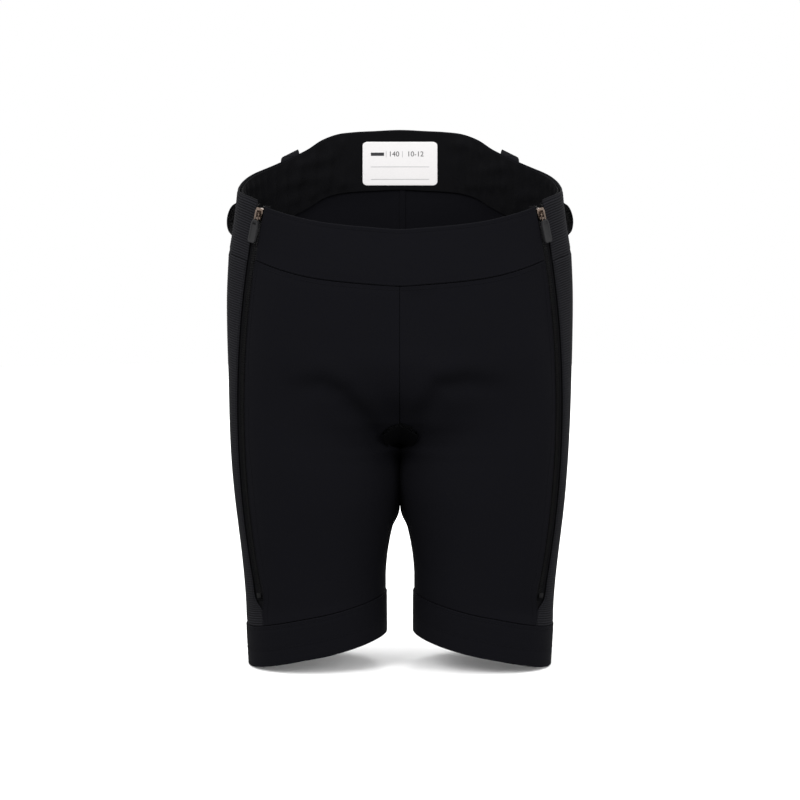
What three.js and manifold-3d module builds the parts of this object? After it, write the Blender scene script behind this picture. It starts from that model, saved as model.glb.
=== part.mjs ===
// Padded race shorts with full-length side zips: sewn panels, waistbands, cuffs, belt loops,
// two working zips and the soft impact pads in their pockets. Millimetres, +Z up, front faces -Y.
// Every sewn piece is laid on one body surface, so all of them follow the same few sizes.
import * as THREE from 'three';
import { LoftGeometry } from 'three/addons/geometries/LoftGeometry.js';
import { mergeVertices } from 'three/addons/utils/BufferGeometryUtils.js';
import Module from 'manifold-3d';

// ---- driving dimensions: the body that the shorts are cut for ----
const HIP_WIDTH = 303; // across the hips, outside
const WAIST_WIDTH = 287; // across the front waistband, outside
const HEM_WIDTH = 268; // across both legs at the hems, outside
const CROTCH_HEIGHT = 200; // outer hem to crotch
const FRONT_RISE = 188; // crotch to waist edge at centre front
const SIDE_RISE = 213; // crotch to waist edge at the side zips
const HIP_RISE = 222; // crotch to waist edge at the side belt loops
const BACK_RISE = 272; // crotch to waist edge at centre back
const BELLY_DEPTH = 94; // side line to centre front
const SEAT_DEPTH = 106; // side line to the seat
const WAIST_FRONT_DEPTH = 86; // side line to centre front at the waist edge
const WAIST_BACK_DEPTH = 92; // side line to centre back at the waist edge
const HEM_DEPTH = 62; // half the depth of a leg at the hem
const THIGH_DEPTH = 78; // half the depth of a leg at the crotch
const KNEE_GAP = 25; // between the legs above the cuffs
const HEM_SLANT = 29; // the hem is this much higher at the inseam than outside

// ---- sewn pieces ----
const SHELL = 1.8; // softshell fabric
const SEAM_GAP = 0.6; // between two pieces that are sewn edge to edge
const PANEL_ROWS = [4, 4, 5]; // rows of facets below, beside and above the gusset
const FRONT_STEPS = 11; // facets across each panel
const SIDE_STEPS = 8;
const BACK_STEPS = 10;
const BAND_STEPS = 40; // facets round the back waistband
const BAND_END_STEPS = 3; // of these, left free of elastic at each end
const FRONT_BAND_HEIGHT = 48;
const BACK_BAND_HEIGHT = 54;
const CUFF_HEIGHT = 36;
const CUFF_PROUD = 1; // the cuff stands this much outside the leg
const CUFF_THICKNESS = 2.4;
const BAND_OUTER = 1.4; // outer layer of the back waistband
const ELASTIC = 1;
const ELASTIC_MARGIN = 6; // band edge to elastic edge
const FACING_MARGIN = 0.8; // waist edge to facing edge
const FACING = 0.8; // inner layer of the back waistband
const LAYER_GAP = 0.4;
const SIDE_SEAM = 0.62; // share of the half girth, front centre to back centre
const SIDE_SEAM_HALF = 0.0012; // half the side seam's gap, as a share of the half girth
const CENTRE_SEAM_HALF = 0.0003; // the same at the centre lines, where the share runs faster
const GUSSET_RISE = 22; // gusset tips above the crotch
const GUSSET_DROP = 18; // gusset points down the inner legs
const GUSSET_THICKNESS = 1;
const GUSSET_REACH = 0.05; // share of a leg's girth that is cut away for the gusset, each way
const GUSSET_EASE = 0.006; // the gusset itself reaches this much less
const LABEL_WIDTH = 61;
const LABEL_HEIGHT = 39;
const LABEL_THICKNESS = 0.5;
const LABEL_DROP = 10.5; // waist edge to label

// ---- belt loops ----
const LOOP_WIDTH = 18;
const LOOP_THICKNESS = 1.6;
const LOOP_GAP = 5; // room for a belt
const LOOP_FOOT = 7; // sewn-down end
const LOOP_LENGTH = 46;
const LOOP_SEAT = 0.7; // cloth to the sewn-down ends, where the band curves
const LOOP_LIFT = 5; // length over which a loop rises off its foot
const SIDE_LOOP_BELOW = 13; // the side loops end this much below the waist edge
const SIDE_LOOP_PLACE = 0.585; // share of the half girth
const BACK_LOOP_PLACE = 0.775;
const BACK_LOOP_ABOVE = 4; // the back loops stand this much above the waist edge

// ---- side zips ----
const ZIP_PLACES = [0.297, 0.38, 0.386]; // share of the half girth at the top, middle and bottom
const ZIP_BOTTOM = 62; // height of the zip's lower end
const ZIP_TOP_INSET = 1; // tape end below the waist edge
const ZIP_FACING = 30; // degrees that the zip faces round from its arc's axis
const ZIP_OPENING = 11; // between the two fabric edges
const ZIP_TAPER = 9; // length over which the fabric edges close below the zip
const ZIP_BLEND = 0.12; // share of the half girth over which the fabric turns to meet the zip
const TAPE_WIDTH = 10; // zip centre to tape edge
const TAPE_THICKNESS = 0.7;
const TAPE_CLEARANCE = 0.65; // inside of the fabric to the tape
const TAPE_DEPTH = SHELL + TAPE_CLEARANCE + TAPE_THICKNESS / 2; // to the middle of the tape
const COIL_GAP = 1.2; // between the two rows of teeth
const COIL_WIDTH = 2;
const COIL_HEIGHT = 1.8;
const STOP_HEIGHT = 1.2;
const TOP_STOP_WIDTH = 1.8;
const TOP_STOP_LENGTH = 2;
const BOTTOM_STOP_LENGTH = 4;
const TAPE_TAIL = 3; // last tooth to the lower end of the tape
const ZIP_STEPS = 18; // facets along the zip
const SLIDER_LENGTH = 10;
const SLIDER_WIDTH = 9.4;
const SLIDER_PLATE = 1.2;
const SLIDER_CLEARANCE = 0.3;
const SLIDER_WAIST = 0.6; // narrower on each side at mid length
const SLIDER_TAIL = 1.2; // narrower on each side at the lower end
const SLIDER_CORNER = 1.8; // corner cut at the shoulders
const SLIDER_INSET = 8; // tape end to the middle of the slider
const POST = 0.6;
const BRIDGE_WIDTH = 2;
const BRIDGE_LENGTH = 6;
const BRIDGE_WALL = 0.8;
const BRIDGE_ROOT = 0.4; // the bridge reaches this far into the plate
const PIVOT_HOLE = 2;
const PIVOT_RISE = 0.8; // plate to pivot hole
const BAIL_WIRE = 1;
const BAIL_ROOM = 0.55; // bridge to bail arm
const BAIL_LENGTH = 10;
const TAB_WIDTH = 9;
const TAB_LENGTH = 20;
const TAB_THICKNESS = 2.2;
const TAB_GAP = 0.3; // tab to bail
const TAB_CORNER = 1.4;
const TAB_SHOULDER = 4; // length over which the tab narrows to the bail
const TAB_LAP = 4; // the tab covers this much of the bail

// ---- impact pads: place and half reach as shares of the half girth, heights in mm ----
const PAD_THICKNESS = 6;
const PAD_EDGE = 1.6;
const PAD_TAPER = 0.35; // share of the half width over which a pad thins to its edge
const PAD_GAP = 1.3; // shell to pad, where both curve
const POCKET_FABRIC = 0.7;
const POCKET_MARGIN = 1.1; // pocket size over pad size
const HIP_PAD = { place: 0.525, reach: 0.075, low: 115, high: 325 };
const THIGH_PAD = { place: 0.22, reach: 0.07, low: 88, high: 186 };
const TAILBONE_PAD = { halfWidth: 40, low: 292, high: 360 };

const THIGH_TURN = 0.2; // share of the half girth from the centre line to the open thigh
const SIDE_LINE = 6; // y of the widest line
const LEG_ROUNDNESS = 2.2;
const TORSO_ROUNDNESS = 2.45;
const WAIST_TOP = CROTCH_HEIGHT + BACK_RISE;

const wasm = await Module();
wasm.setup();

// ---- small helpers ----
const clamp = (x, low, high) => Math.min(Math.max(x, low), high);
const lerp = (a, b, t) => a + (b - a) * t;
const ease = (t) => {
  const x = clamp(t, 0, 1);
  return x * x * (3 - 2 * x);
};
const power = (x, e) => Math.sign(x) * Math.abs(x) ** e;

// A smooth curve through [position, value] pairs, level beyond its ends.
function curveThrough(points) {
  const slope = (i) => {
    const a = points[Math.max(i - 1, 0)];
    const b = points[Math.min(i + 1, points.length - 1)];
    return (b[1] - a[1]) / (b[0] - a[0]);
  };
  return (x) => {
    if (x <= points[0][0]) return points[0][1];
    if (x >= points.at(-1)[0]) return points.at(-1)[1];
    const i = points.findIndex((p) => p[0] > x) - 1;
    const [x0, y0] = points[i];
    const [x1, y1] = points[i + 1];
    const span = x1 - x0;
    const t = (x - x0) / span;
    const rise = (3 - 2 * t) * t * t;
    const ends = slope(i) * span * t * (1 - t) ** 2 - slope(i + 1) * span * t * t * (1 - t);
    return y0 + (y1 - y0) * rise + ends;
  };
}

// ---- the body surface ----
// level 0 is the hem, 1 the crotch, 2 the waist edge at centre front
const level = (z) => (z < CROTCH_HEIGHT ? z / CROTCH_HEIGHT : 1 + (z - CROTCH_HEIGHT) / FRONT_RISE);
const hip = (share) => lerp(HEM_WIDTH, HIP_WIDTH, share) / 2;
const halfWidth = curveThrough([
  [0, hip(0)],
  [0.5, hip(0.29)],
  [1, hip(0.84)],
  [1.45, hip(1)],
  [1.72, hip(1)],
  [1.9, lerp(WAIST_WIDTH, HIP_WIDTH, 0.75) / 2],
  [2.1, WAIST_WIDTH / 2],
  [2.5, WAIST_WIDTH / 2 - 5],
]);
const bellyDepth = curveThrough([
  [1, BELLY_DEPTH - 4],
  [1.4, BELLY_DEPTH],
  [1.8, lerp(WAIST_FRONT_DEPTH, BELLY_DEPTH, 0.6)],
  [2, WAIST_FRONT_DEPTH],
]);
const seatDepth = curveThrough([
  [1, SEAT_DEPTH - 6],
  [1.35, SEAT_DEPTH],
  [1.8, lerp(WAIST_BACK_DEPTH, SEAT_DEPTH, 0.6)],
  [2.4, WAIST_BACK_DEPTH],
]);
const legDepth = curveThrough([
  [0, HEM_DEPTH],
  [0.5, lerp(HEM_DEPTH, THIGH_DEPTH, 0.4)],
  [1, THIGH_DEPTH],
  [1.4, THIGH_DEPTH + 4],
]);
const legGap = curveThrough([
  [0.42, KNEE_GAP / 2],
  [0.52, KNEE_GAP * 0.4],
  [0.61, KNEE_GAP * 0.28],
  [0.7, KNEE_GAP * 0.09],
  [0.77, SEAM_GAP / 2],
]);
// How far the legs have turned into the torso: at once along the centre line, whose curve is
// a quarter ellipse, and gently over the thighs.
function torsoShare(s, z) {
  const climb = s < 0.5 ? FRONT_RISE * 0.4 : FRONT_RISE * 0.36;
  const t = clamp((z - CROTCH_HEIGHT) / climb, 0, 1);
  const centre = Math.sqrt(1 - (1 - t) ** 2);
  const thigh = ease((z - CROTCH_HEIGHT * 0.72) / (FRONT_RISE * 0.75));
  return lerp(centre, thigh, ease(Math.min(s, 1 - s) / THIGH_TURN));
}
const waistEdge = curveThrough([
  [0, CROTCH_HEIGHT + FRONT_RISE],
  [0.15, CROTCH_HEIGHT + lerp(FRONT_RISE, SIDE_RISE, 0.3)],
  [0.34, CROTCH_HEIGHT + SIDE_RISE],
  [0.5, CROTCH_HEIGHT + HIP_RISE],
  [0.62, CROTCH_HEIGHT + lerp(HIP_RISE, BACK_RISE, 0.2)],
  [0.72, CROTCH_HEIGHT + lerp(HIP_RISE, BACK_RISE, 0.37)],
  [0.81, CROTCH_HEIGHT + lerp(HIP_RISE, BACK_RISE, 0.61)],
  [0.88, CROTCH_HEIGHT + lerp(HIP_RISE, BACK_RISE, 0.9)],
  [1, WAIST_TOP],
]);
const hem = (s) => (HEM_SLANT * (1 + Math.cos(2 * Math.PI * s))) / 2;
const cuffTop = (s) => hem(s) + CUFF_HEIGHT;
const frontSeam = (s) => waistEdge(s) - FRONT_BAND_HEIGHT;
const backSeam = (s) => waistEdge(s) - BACK_BAND_HEIGHT;

// A point of the left half. s runs from centre front (0) round the side (0.5) to centre back (1);
// below the crotch it runs round the leg from the inseam and back to it.
function bodyPoint(s, z) {
  const h = level(z);
  const wide = halfWidth(h);
  const gap = legGap(h);
  const turn = 2 * Math.PI * s;
  const leg = new THREE.Vector3(
    (-(wide + gap) / 2) + ((wide - gap) / 2) * power(Math.cos(turn), 2 / LEG_ROUNDNESS),
    SIDE_LINE - legDepth(h) * power(Math.sin(turn), 2 / LEG_ROUNDNESS),
    z,
  );
  const half = Math.PI * s;
  const depth = s < 0.5 ? bellyDepth(h) : seatDepth(h);
  const torso = new THREE.Vector3(
    -gap - (wide - gap) * power(Math.sin(half), 2 / TORSO_ROUNDNESS),
    SIDE_LINE - depth * power(Math.cos(half), 2 / TORSO_ROUNDNESS),
    z,
  );
  return leg.lerp(torso, torsoShare(s, z));
}

// ---- the zip line: one circular arc through three points of the body surface ----
const zipTopHeight = waistEdge(ZIP_PLACES[0]) - ZIP_TOP_INSET;
const zipMidHeight = (zipTopHeight + ZIP_BOTTOM) / 2;
const zipEnds = [
  bodyPoint(ZIP_PLACES[0], zipTopHeight),
  bodyPoint(ZIP_PLACES[1], zipMidHeight),
  bodyPoint(ZIP_PLACES[2], ZIP_BOTTOM),
];

function arcThrough(top, middle, bottom) {
  const a = top.clone().sub(middle);
  const b = bottom.clone().sub(middle);
  const normal = a.clone().cross(b);
  const first = b.clone().multiplyScalar(a.lengthSq()).sub(a.clone().multiplyScalar(b.lengthSq()));
  const centre = first.cross(normal).divideScalar(2 * normal.lengthSq());
  centre.add(middle);
  return { centre, axis: normal.normalize(), radius: centre.distanceTo(middle) };
}

const zipArc = arcThrough(...zipEnds);
const zipStart = zipEnds[0].clone().sub(zipArc.centre).normalize();
// turning about the axis carries the slider down
if (zipArc.axis.clone().cross(zipStart).z > 0) zipArc.axis.negate();
const zipSweep = zipStart.angleTo(zipEnds[2].clone().sub(zipArc.centre));
const zipLean = THREE.MathUtils.degToRad(ZIP_FACING);

// The zip's frame at an angle below its top: out of the cloth, towards the rear, and up the zip.
function zipFrame(angle) {
  const radial = zipStart.clone().applyAxisAngle(zipArc.axis, angle);
  const rear = radial.clone().multiplyScalar(Math.cos(zipLean));
  rear.addScaledVector(zipArc.axis, -Math.sin(zipLean));
  const out = radial.clone().multiplyScalar(Math.sin(zipLean));
  out.addScaledVector(zipArc.axis, Math.cos(zipLean));
  const up = zipArc.axis.clone().cross(radial).negate();
  const at = zipArc.centre.clone().addScaledVector(radial, zipArc.radius);
  return { at, rear, out, up };
}

function zipPoint(angle, across, out) {
  const f = zipFrame(angle);
  return f.at.addScaledVector(f.rear, across).addScaledVector(f.out, out);
}

function zipAngleAt(z) {
  let low = -0.2;
  let high = zipSweep + 0.2;
  for (let i = 0; i < 36; i += 1) {
    const middle = (low + high) / 2;
    if (zipPoint(middle, 0, 0).z > z) low = middle;
    else high = middle;
  }
  return (low + high) / 2;
}

const zipHalfOpening = (z) =>
  lerp(SEAM_GAP / 2, ZIP_OPENING / 2, ease((z - ZIP_BOTTOM + ZIP_TAPER) / ZIP_TAPER));

function nearestPlace(point, z) {
  let low = 0.2;
  let high = 0.55;
  const away = (s) => {
    const p = bodyPoint(s, z);
    return (p.x - point.x) ** 2 + (p.y - point.y) ** 2;
  };
  for (let i = 0; i < 40; i += 1) {
    const a = lerp(low, high, 0.4);
    const b = lerp(low, high, 0.6);
    if (away(a) < away(b)) high = b;
    else low = a;
  }
  return (low + high) / 2;
}

// Where the fabric edge beside the zip lies at a height: side -1 is the front edge, 1 the rear one.
const edgeStore = new Map();
function zipEdge(z, side) {
  const key = `${Math.round(z * 1e4)} ${side}`;
  if (!edgeStore.has(key)) {
    const point = zipPoint(zipAngleAt(z), side * zipHalfOpening(z), 0);
    const place = nearestPlace(point, z);
    const shift = point.clone().sub(bodyPoint(place, z));
    shift.multiplyScalar(ease((z - ZIP_BOTTOM + 2 * ZIP_TAPER) / ZIP_TAPER));
    edgeStore.set(key, { place, shift });
  }
  return edgeStore.get(key);
}

// The outside of the cloth: the body surface, turned to meet the zip where it passes.
function clothPoint(s, z, side) {
  const edge = zipEdge(z, side);
  const point = bodyPoint(s, z);
  return point.addScaledVector(edge.shift, ease(1 - Math.abs(s - edge.place) / ZIP_BLEND));
}

// ---- mesh builders ----
function finished(geometry) {
  geometry.deleteAttribute('normal');
  geometry.deleteAttribute('uv');
  const merged = mergeVertices(geometry, 1e-4);
  const position = merged.getAttribute('position');
  const index = Array.from(merged.getIndex().array);
  const corner = (i) => new THREE.Vector3().fromBufferAttribute(position, index[i]);
  let volume = 0;
  for (let i = 0; i < index.length; i += 3) {
    volume += corner(i).dot(corner(i + 1).cross(corner(i + 2)));
  }
  if (volume < 0) {
    for (let i = 0; i < index.length; i += 3) {
      [index[i], index[i + 1]] = [index[i + 1], index[i]];
    }
  }
  merged.setIndex(index);
  merged.computeVertexNormals();
  return merged;
}

// A unit box whose back is divided along the same diagonals as its front.
function matchedBox(nu, nv) {
  const geometry = new THREE.BoxGeometry(1, 1, 1, nu, nv, 1);
  const index = geometry.getIndex();
  const { start, count } = geometry.groups[5];
  for (let i = start; i < start + count; i += 6) {
    const [a, b, d, , c] = index.array.slice(i, i + 5);
    index.array.set([a, b, c, a, c, d], i);
  }
  return geometry;
}

// A box bent onto a surface: place(u, v) gives the surface, and the box lies between two depths.
function bentPanel(place, nu, nv, outer, inner, turn) {
  const geometry = matchedBox(nu, nv);
  const position = geometry.getAttribute('position');
  const step = 1e-3;
  for (let i = 0; i < position.count; i += 1) {
    const u = position.getX(i) + 0.5;
    const v = position.getY(i) + 0.5;
    const along = place(Math.min(u + step, 1), v).sub(place(Math.max(u - step, 0), v));
    const rise = place(u, Math.min(v + step, 1)).sub(place(u, Math.max(v - step, 0)));
    const normal = along.cross(rise).normalize().multiplyScalar(turn);
    const depth = position.getZ(i) > 0 ? outer : inner;
    const here = depth instanceof Function ? depth(u, v) : depth;
    const point = place(u, v).addScaledVector(normal, -here);
    position.setXYZ(i, point.x, point.y, point.z);
  }
  return finished(geometry);
}

function mirrored(geometry) {
  const copy = new THREE.BufferGeometry().copy(geometry).scale(-1, 1, 1);
  return finished(copy);
}

// A grid over the left half between two places and two heights, each a function of the other.
function halfPatch(from, to, bottom, top, side) {
  return (u, v) => {
    let z = lerp(bottom(0.3), top(0.3), v);
    let s = 0;
    for (let i = 0; i < 6; i += 1) {
      s = lerp(from(z), to(z), u);
      z = lerp(bottom(s), top(s), v);
    }
    return clothPoint(s, z, side);
  };
}

// A grid that crosses the centre line: u from 0 on the left to 1 on the right.
function crossPatch(centre, reach, bottom, top, side) {
  return (u, v) => {
    const across = 2 * u - 1;
    let z = lerp(bottom(centre), top(centre), v);
    let s = centre;
    for (let i = 0; i < 6; i += 1) {
      s = lerp(centre, reach(z), Math.abs(across));
      z = lerp(bottom(s), top(s), v);
    }
    const point = clothPoint(s, z, side);
    point.x = Math.min(point.x + SEAM_GAP / 2, 0) * -Math.sign(across || 1);
    return point;
  };
}

// the origin is the middle of the waist opening, level with the waist edge at centre front
const group = new THREE.Group();
group.name = 'padded_shorts';
group.position.set(0, -SIDE_LINE, -CROTCH_HEIGHT - FRONT_RISE);

function finish(color, roughness, metalness) {
  return new THREE.MeshStandardMaterial({ color, roughness, metalness });
}

const softshell = finish(0x17171a, 0.85, 0);
const ribbed = finish(0x222225, 0.9, 0);
const tricot = finish(0x0e0e11, 0.95, 0);
const foam = finish(0x2a2a2e, 0.9, 0);
const webbing = finish(0x151518, 0.8, 0);
const elasticKnit = finish(0x1b1b1e, 0.85, 0);
const labelSatin = finish(0xf2f2f2, 0.6, 0);
const zipNylon = finish(0x121214, 0.6, 0);
const nickel = finish(0xb9b4ad, 0.25, 1);
const moulded = finish(0x323234, 0.6, 0);

function add(name, geometry, material) {
  const mesh = new THREE.Mesh(geometry, material);
  mesh.name = name;
  group.add(mesh);
}

function addPair(name, geometry, material) {
  add(`${name}_left`, geometry, material);
  add(`${name}_right`, mirrored(geometry), material);
}

// ---- gusset and leg panels ----
const gussetLow = CROTCH_HEIGHT - GUSSET_DROP;
const gussetHigh = CROTCH_HEIGHT + GUSSET_RISE;
const gussetReach = (z) =>
  GUSSET_REACH * Math.sin(Math.PI * clamp((z - gussetLow) / (gussetHigh - gussetLow), 0, 1));
const frontStart = (z) => gussetReach(z) + CENTRE_SEAM_HALF;
const backEnd = (z) => 1 - gussetReach(z) - CENTRE_SEAM_HALF;
const frontZip = (z) => zipEdge(z, -1).place;
const rearZip = (z) => zipEdge(z, 1).place;
const above = (line) => (s) => line(s) + SEAM_GAP / 2;
const below = (line) => (s) => line(s) - SEAM_GAP / 2;
const sideSeamFront = () => SIDE_SEAM - SIDE_SEAM_HALF;
const sideSeamBack = () => SIDE_SEAM + SIDE_SEAM_HALF;

// Rows of facets: one at each end of the stretch below the zip, then rows that pass through the
// gusset's own rows at the centre line.
function clothRows(place, bottom, top) {
  const heightOf = (share) => lerp(bottom(place), top(place), share);
  const zipLow = cuffTop(ZIP_PLACES[2]);
  const zipShare = (z) => (z - zipLow) / (frontSeam(ZIP_PLACES[2]) - zipLow);
  const stops = [heightOf(zipShare(ZIP_BOTTOM)), gussetLow, gussetHigh, heightOf(1)];
  const heights = [heightOf(0), heightOf(zipShare(ZIP_BOTTOM - ZIP_TAPER)), stops[0]];
  PANEL_ROWS.forEach((count, part) => {
    for (let i = 1; i <= count; i += 1) heights.push(lerp(stops[part], stops[part + 1], i / count));
  });
  const rows = heights.length - 1;
  const shares = heights.map((z) => (z - heightOf(0)) / (heightOf(1) - heightOf(0)));
  return (v) => {
    const i = clamp(Math.floor(v * rows), 0, rows - 1);
    return lerp(shares[i], shares[i + 1], v * rows - i);
  };
}

const panelRows = PANEL_ROWS.reduce((sum, count) => sum + count, 2);
function clothPanel(from, to, topSeam, centre, side, steps) {
  const bottom = above(cuffTop);
  const top = below(topSeam);
  const patch = halfPatch(from, to, bottom, top, side);
  const row = clothRows(centre, bottom, top);
  return bentPanel((u, v) => patch(u, row(v)), steps, panelRows, 0, SHELL, -1);
}
const frontPanel = clothPanel(frontStart, frontZip, frontSeam, 0, -1, FRONT_STEPS);
addPair('front_panel', frontPanel, softshell);
const sidePanel = clothPanel(rearZip, sideSeamFront, backSeam, 1, 1, SIDE_STEPS);
addPair('side_panel', sidePanel, ribbed);
addPair('back_panel', clothPanel(sideSeamBack, backEnd, backSeam, 1, 1, BACK_STEPS), softshell);

// The gusset straddles the crotch: u runs from the left leg to the right, v from front to back.
function gussetPoint(u, v) {
  const p = Math.abs(2 * u - 1);
  const q = Math.abs(2 * v - 1);
  const edge = lerp(gussetLow, gussetHigh, q);
  const z = lerp(lerp(CROTCH_HEIGHT, gussetHigh, q), edge, p);
  const reach = p * Math.max(gussetReach(edge) - GUSSET_EASE, 0);
  const point = bodyPoint(v < 0.5 ? reach : 1 - reach, z);
  point.x = p === 0 ? 0 : point.x + SEAM_GAP / 3;
  return u > 0.5 ? point.setX(-point.x) : point;
}
add('crotch_gusset', bentPanel(gussetPoint, 6, 2 * PANEL_ROWS[1], 0, GUSSET_THICKNESS, -1), tricot);

// ---- cuffs: closed rings round the legs ----
function legRing(bottom, top, outside, inside, steps, rows) {
  const outwards = (s, z) => {
    const d = 1e-3;
    const along = bodyPoint(s + d, z).sub(bodyPoint(s - d, z));
    return along.cross(new THREE.Vector3(0, 0, 1)).negate().normalize();
  };
  const sections = [];
  for (let i = 0; i <= steps; i += 1) {
    const s = (i % steps) / steps;
    const ring = [];
    for (let j = 0; j <= rows; j += 1) {
      const z = lerp(bottom(s), top(s), j / rows);
      ring.push(bodyPoint(s, z).addScaledVector(outwards(s, z), outside));
    }
    for (let j = rows; j >= 0; j -= 1) {
      const z = lerp(bottom(s), top(s), j / rows);
      ring.push(bodyPoint(s, z).addScaledVector(outwards(s, z), -inside));
    }
    sections.push(ring);
  }
  return finished(new THREE.BufferGeometry().copy(new LoftGeometry(sections)));
}
const cuff = legRing(hem, below(cuffTop), CUFF_PROUD, CUFF_THICKNESS - CUFF_PROUD, 30, 2);
addPair('leg_cuff', cuff, softshell);

// ---- waistbands ----
const frontBand = crossPatch(0, frontZip, above(frontSeam), waistEdge, -1);
add('front_waistband', bentPanel(frontBand, 20, 2, 0, SHELL, 1), softshell);

const backBand = crossPatch(1, rearZip, above(backSeam), waistEdge, 1);
add('back_waistband', bentPanel(backBand, BAND_STEPS, 2, 0, BAND_OUTER, -1), softshell);

// The elastic and the facing lie inside the band, on the same rows, between two shares of its height.
function bandLayer(low, high, depth, thickness) {
  const end = BAND_END_STEPS / BAND_STEPS;
  const row = (v) => (v < 0.5 ? lerp(low, 0.5, 2 * v) : lerp(0.5, high, 2 * v - 1));
  const place = (u, v) => backBand(lerp(end, 1 - end, u), row(v));
  const steps = BAND_STEPS - 2 * BAND_END_STEPS;
  return bentPanel(place, steps, 2, depth, depth + thickness, -1);
}
const elasticShare = ELASTIC_MARGIN / BACK_BAND_HEIGHT;
const elasticDepth = BAND_OUTER + LAYER_GAP;
const elastic = bandLayer(elasticShare, 1 - elasticShare, elasticDepth, ELASTIC);
add('waist_elastic', elastic, elasticKnit);
const facingDepth = elasticDepth + ELASTIC + LAYER_GAP;
const facing = bandLayer(0, 1 - FACING_MARGIN / BACK_BAND_HEIGHT, facingDepth, FACING);
add('waistband_facing', facing, tricot);

// ---- name label inside the back waistband ----
const centreBackGirth = (z) => {
  const a = bodyPoint(0.9, z);
  return a.distanceTo(bodyPoint(1, z)) / 0.1;
};
const labelFrom = (z) => 1 - LABEL_WIDTH / 2 / centreBackGirth(z);
const labelHigh = () => WAIST_TOP - LABEL_DROP;
const labelLow = () => labelHigh() - LABEL_HEIGHT;
const labelDepth = facingDepth + FACING + LAYER_GAP;
const labelPatch = crossPatch(1, labelFrom, labelLow, labelHigh, 1);
const label = bentPanel(labelPatch, 8, 1, labelDepth, labelDepth + LABEL_THICKNESS, -1);
add('name_label', label, labelSatin);

// ---- belt loops ----
function beltLoop(place, topHeight) {
  const low = clothPoint(place, topHeight - LOOP_LENGTH, 1);
  const high = clothPoint(place, topHeight - LOOP_FOOT, 1);
  const up = high.clone().sub(low).normalize();
  const along = clothPoint(place + 0.01, topHeight - LOOP_FOOT, 1).sub(high).normalize();
  const out = up.clone().cross(along).normalize();
  const across = out.clone().cross(up);
  const near = LOOP_SEAT;
  const far = LOOP_SEAT + LOOP_GAP;
  const steps = [
    [near, 0],
    [near, LOOP_FOOT],
    [far, LOOP_FOOT + LOOP_LIFT],
    [far, LOOP_LENGTH - LOOP_FOOT - LOOP_LIFT],
    [near, LOOP_LENGTH - LOOP_FOOT],
    [near, LOOP_LENGTH],
  ];
  const outline = new THREE.Shape();
  steps.forEach(([x, y], i) => (i ? outline.lineTo(x, y) : outline.moveTo(x, y)));
  [...steps].reverse().forEach(([x, y]) => outline.lineTo(x + LOOP_THICKNESS, y));
  const geometry = new THREE.ExtrudeGeometry(outline, { depth: LOOP_WIDTH, bevelEnabled: false });
  geometry.translate(0, 0, -LOOP_WIDTH / 2);
  const matrix = new THREE.Matrix4().makeBasis(out, up, across.negate());
  geometry.applyMatrix4(matrix.setPosition(low));
  return finished(geometry);
}
const sideLoopTop = waistEdge(SIDE_LOOP_PLACE) - SIDE_LOOP_BELOW;
addPair('belt_loop_side', beltLoop(SIDE_LOOP_PLACE, sideLoopTop), webbing);
const backLoopTop = waistEdge(BACK_LOOP_PLACE) + BACK_LOOP_ABOVE;
addPair('belt_loop_back', beltLoop(BACK_LOOP_PLACE, backLoopTop), webbing);

// ---- zips ----
const tapeFace = TAPE_DEPTH - TAPE_THICKNESS / 2;
const coilEnd = COIL_GAP / 2 + COIL_WIDTH;
const angleOf = (length) => length / zipArc.radius;
const sliderAngle = angleOf(SLIDER_INSET);
const coilTop = sliderAngle - angleOf(SLIDER_LENGTH / 2);

function zipStrip(across0, across1, out0, out1, angle0, angle1, steps) {
  const place = (u, v) => zipPoint(lerp(angle1, angle0, v), lerp(across0, across1, u), 0);
  const turn = across1 > across0 ? -1 : 1;
  return bentPanel(place, 1, steps, -out1, -out0, turn);
}

// A tape is flat beside the teeth and then follows the inside of the cloth.
function zipTape(side) {
  const inner = coilEnd + LAYER_GAP;
  const middle = ZIP_OPENING / 2;
  const place = (u, v) => {
    const angle = lerp(zipSweep, 0, v);
    const across = u < 0.5 ? lerp(inner, middle, 2 * u) : middle;
    const point = zipPoint(angle, side * across, 0);
    if (u <= 0.5) return point;
    const edge = zipEdge(point.z, side);
    const reach = (TAPE_WIDTH - middle) * (2 * u - 1);
    const base = clothPoint(edge.place, point.z, side);
    const facet = side < 0 ? edge.place / FRONT_STEPS : (SIDE_SEAM - edge.place) / SIDE_STEPS;
    const next = clothPoint(edge.place + side * facet, point.z, side).sub(base);
    return point.addScaledVector(next.normalize(), reach);
  };
  const geometry = matchedBox(2, ZIP_STEPS);
  const position = geometry.getAttribute('position');
  for (let i = 0; i < position.count; i += 1) {
    const v = position.getY(i) + 0.5;
    const { out } = zipFrame(lerp(zipSweep, 0, v));
    const point = place(position.getX(i) + 0.5, v);
    const depth = TAPE_DEPTH - position.getZ(i) * TAPE_THICKNESS;
    point.addScaledVector(out, -depth);
    position.setXYZ(i, point.x, point.y, point.z);
  }
  return finished(geometry);
}

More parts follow.
